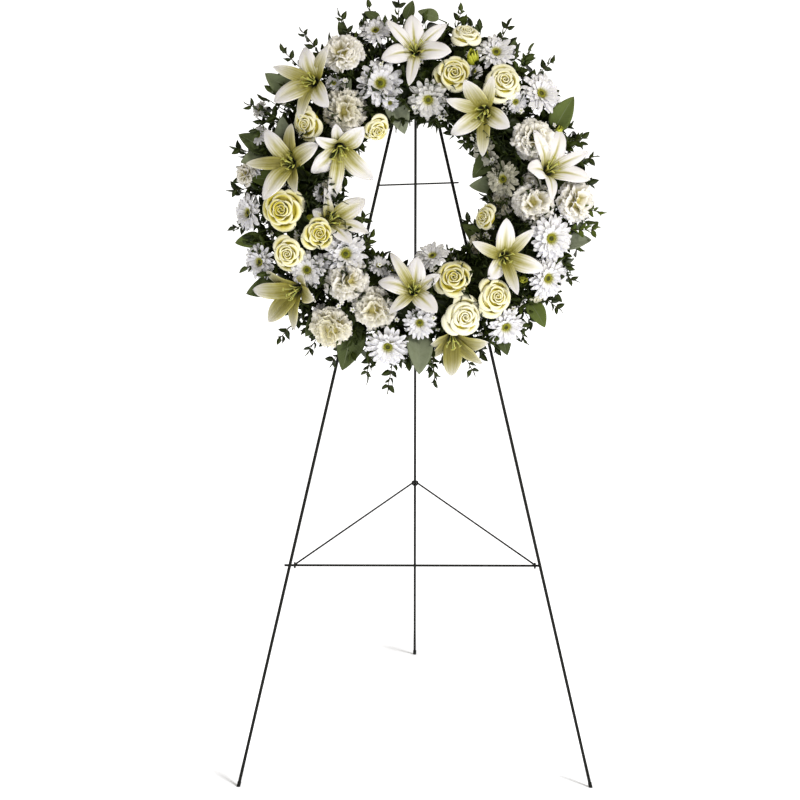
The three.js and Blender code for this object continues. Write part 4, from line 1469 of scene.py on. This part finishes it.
def filler_foliage(low, high, dice):
    """The filler twigs, the longer ones round the outside and the carpet, from one clock to another."""
    twigs, carpet = [], []
    for row, lean in enumerate(BED_ROWS):
        for clock in range(low, high, BED_STEP):
            clock = clock + BED_STEP / 2 * (row % 2) + dice.uniform(-3, 3)
            out = lean + dice.uniform(-8, 8)
            reach = dice.uniform(58, 76) if lean > -50 else dice.uniform(48, 60)
            twigs.append(filler_twig(clock, out, BED_FOOT, reach, BED_LEAF, 3, 0.3, dice))
    for row, lean in enumerate(FRINGE_ROWS):
        for clock in range(low, high, FRINGE_STEP):
            clock = clock + FRINGE_STEP / 2 * row + dice.uniform(-3, 3)
            out, reach = lean + dice.uniform(-8, 6), dice.uniform(86, 120)
            twigs.append(filler_twig(clock, out, FRINGE_FOOT, reach, FRINGE_LEAF, 4, 0.5, dice))
    for row, (lean, reach) in enumerate(CARPET_ROWS):
        for clock in range(low, high, CARPET_STEP):
            clock = clock + CARPET_STEP / 2 * (row % 2) + dice.uniform(-3, 3)
            carpet.append(carpet_leaf(clock, lean, reach, dice))
    leaves = thickened(joined([blades for blades, _ in twigs] + carpet), SMALL_LEAF_WALL)
    return joined([leaves, finished(joined([stem for _, stem in twigs]), 1)])


def filler_blossoms(low, high, dice):
    """The tiny blossoms in ones, twos and threes, from one clock to another."""
    blossoms, stalks = [], []
    for lean in BLOSSOM_ROWS:
        for clock in range(low, high, BLOSSOM_STEP):
            clock = clock + dice.uniform(0, BLOSSOM_STEP)
            out = lean + dice.uniform(-10, 10)
            place = on_bed(clock, out, dice.uniform(70, 88) if lean > 50 else dice.uniform(62, 78))
            for _ in range(dice.choice((1, 2, 3))):
                near = place + jolt(9, dice)
                near.z = max(near.z, LOWEST + 4)
                face = leaning(clock, out * 0.7 + dice.uniform(-25, 25))
                blossoms.append(placed(tiny_blossom(dice), standing(near, face, dice.uniform(0, 360))))
                stalks.append(tube(bowed(on_bed(clock, out, 45), on_bed(clock, out, 60), near, 4), 0.6, 4))
    return joined([joined(blossoms), finished(joined(stalks), 1)])


class WREATH_OT_bed(WreathOperator, bpy.types.Operator):
    """Model the dark filler foliage that hides the foam, and its tiny blossoms"""

    bl_idname = "wreath.bed"
    bl_label = "Filler foliage"

    def execute(self, context):
        leaf_finishes = [small_leaf(), green_stem()]
        blossom_finishes = [blossom_material(settings_now().foliage), green_stem()]
        span = 360 // BED_SECTORS
        for sector in range(BED_SECTORS):
            dice = random.Random(BED_SEED + sector)
            part = (sector * span, (sector + 1) * span, dice)
            piece(f"filler_foliage_{sector + 1}", filler_foliage(*part), leaf_finishes)
            piece(f"filler_blossoms_{sector + 1}", filler_blossoms(*part), blossom_finishes)
        return {"FINISHED"}


class WREATH_OT_finishes(WreathOperator, bpy.types.Operator):
    """Finish the easel, the tray and the foam"""

    bl_idname = "wreath.finishes"
    bl_label = "Easel and ring finishes"

    def execute(self, context):
        settings = settings_now().easel
        coat = coated_wire_material(settings)
        special = {
            "foam_tray": tray_material(settings),
            "foam_ring": foam_material(settings),
            "hanger_wire": florist_wire_material(),
        }
        for name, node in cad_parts.items():
            if node.hide_render:
                continue
            finish = special.get(name, coat)
            node.data.materials.clear()
            node.data.materials.append(finish)
        return {"FINISHED"}


FEET = ("front_leg_left", "front_leg_right", "back_leg")
FLOOR_WIDTH = 120  # metres, so that its edge is out of sight
FOOT_GLOW, NEAR_GLOW, FAR_GLOW = 0.2, 0.72, 1.0  # light that the floor gives off, from the feet outwards
SHADOW_REACH = (0.05, 0.17)  # metres from a foot over which its shadow fades away
SWEEP_REACH = (1.5, 3.5)  # metres from the middle over which the floor turns to its far glow
LAMP_PLACE = (2.6, -2.7, 3.3)
KEY_WIDTH, FLOOR_LAMP_WIDTH = 0.7, 1.5
CAMERA_PLACE = (0, -4.069, 1.604)
CAMERA_DIP, CAMERA_TURN = math.radians(13.44), math.radians(0.4)
SENSOR_WIDTH = 36
CAMERA_FAR_END = 200


def foot_of(leg):
    """Where a leg stands on the floor."""
    corners = [vertex.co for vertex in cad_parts[leg].data.vertices]
    lowest = min(corner.z for corner in corners)
    standing_on = [corner for corner in corners if corner.z < lowest + MM]
    return sum(standing_on, Vector()) / len(standing_on)


def floor_material(settings):
    """Floor: a white paper sweep, matt. It gives off light but for a soft shadow round each foot."""
    made, tree, principled = new_material("floor, white sweep", Roughness=0.9, Specular_IOR_Level=0.0)
    tone = add(tree, "Mix", specks(tree, 900), settings.floor, linear("F2F4FB"), data_type="RGBA")
    tree.links.new(tone, principled.inputs["Base Color"])
    principled.inputs["Emission Color"].default_value = (1, 1, 1, 1)
    place = add(tree, "TexCoord", output="Object")
    nearest = 1.0
    for name in FEET:
        away = add(tree, "VectorMath", place, foot_of(name), operation="DISTANCE")
        nearest = add(tree, "Math", away, nearest, operation="MINIMUM")
    middle = add(tree, "VectorMath", place, operation="LENGTH")
    near = add(tree, "MapRange", middle, *SWEEP_REACH, FAR_GLOW - NEAR_GLOW, 0.0, **SMOOTH)
    shadow = add(tree, "MapRange", nearest, *SHADOW_REACH, NEAR_GLOW - FOOT_GLOW, 0.0, **SMOOTH)
    glow = add(tree, "Math", FAR_GLOW, near, operation="SUBTRACT")
    glow = add(tree, "Math", glow, shadow, operation="SUBTRACT")
    tree.links.new(glow, principled.inputs["Emission Strength"])
    return made


def disc_lamp(name, energy, width):
    """A round lamp that shines on the wreath."""
    deselect()
    bpy.ops.object.light_add(type="AREA", location=LAMP_PLACE)
    lamp = bpy.context.object
    lamp.name = name
    lamp.data.energy = energy
    lamp.data.shape = "DISK"
    lamp.data.size = width
    aim = WREATH @ Vector((0, 0, 0)) - lamp.location
    lamp.rotation_euler = aim.to_track_quat("-Z", "Y").to_euler()
    return lamp


class WREATH_OT_stage(WreathOperator, bpy.types.Operator):
    """Lay the white floor and set the lamps and the camera"""

    bl_idname = "wreath.stage"
    bl_label = "Floor, lamps and camera"

    def execute(self, context):
        settings = settings_now().stage
        scene = context.scene
        deselect()
        bpy.ops.mesh.primitive_plane_add(size=FLOOR_WIDTH, location=(0, 0, 0))
        floor = context.object
        floor.name = "floor"
        floor.data.materials.append(floor_material(settings))

        key = disc_lamp("key lamp", settings.key, KEY_WIDTH)
        key.data.color = linear("FFFCF6")[:3]

        # A softer lamp in the same place lights the floor alone, so that the feet's shadows show.
        floor_lamp = disc_lamp("floor lamp", settings.sweep, FLOOR_LAMP_WIDTH)
        lit = bpy.data.collections.new("lit by the floor lamp")
        lit.objects.link(floor)
        floor_lamp.light_linking.receiver_collection = lit

        world = bpy.data.worlds.new("studio")
        scene.world = world
        world.use_nodes = True
        tree = world.node_tree
        fill = tree.nodes["Background"]
        fill.inputs["Color"].default_value = linear("FFF9EA")
        fill.inputs["Strength"].default_value = settings.fill
        shown = add(tree, "Background", (1, 1, 1, 1), 1.0)
        seen = add(tree, "LightPath", output="Is Camera Ray")
        both = add(tree, "MixShader", seen, fill.outputs[0], shown)
        tree.links.new(both, tree.nodes["World Output"].inputs["Surface"])

        bpy.ops.object.camera_add(location=CAMERA_PLACE)
        camera = context.object
        camera.rotation_euler = (math.pi / 2 - CAMERA_DIP, 0, CAMERA_TURN)
        camera.data.lens = settings.lens
        camera.data.sensor_width = SENSOR_WIDTH
        camera.data.clip_end = CAMERA_FAR_END
        scene.camera = camera
        scene.view_settings.view_transform = "Standard"
        return {"FINISHED"}


class WREATH_PT_panel(bpy.types.Panel):
    """Lists the wreath's operators"""

    bl_label = "Funeral wreath"
    bl_idname = "WREATH_PT_panel"
    bl_space_type = "VIEW_3D"
    bl_region_type = "UI"
    bl_category = "Wreath"

    def draw(self, context):
        for operator in OPERATORS:
            self.layout.operator(operator.bl_idname)


OPERATORS = [
    WREATH_OT_lilies,
    WREATH_OT_roses,
    WREATH_OT_carnations,
    WREATH_OT_mums,
    WREATH_OT_buds,
    WREATH_OT_leaves,
    WREATH_OT_sprigs,
    WREATH_OT_bed,
    WREATH_OT_finishes,
    WREATH_OT_stage,
]
GROUPS = [
    LilySettings,
    RoseSettings,
    CarnationSettings,
    MumSettings,
    BudSettings,
    FoliageSettings,
    EaselSettings,
    StageSettings,
    WreathSettings,
]


def register():
    for kind in [*GROUPS, *OPERATORS, WREATH_PT_panel]:
        bpy.utils.register_class(kind)
    bpy.types.Scene.funeral_wreath = PointerProperty(type=WreathSettings)


def unregister():
    del bpy.types.Scene.funeral_wreath
    for kind in reversed([*GROUPS, *OPERATORS, WREATH_PT_panel]):
        bpy.utils.unregister_class(kind)


def main():
    register()
    for operator in OPERATORS:
        group, name = operator.bl_idname.split(".")
        getattr(getattr(bpy.ops, group), name)()


if __name__ == "__main__":
    main()
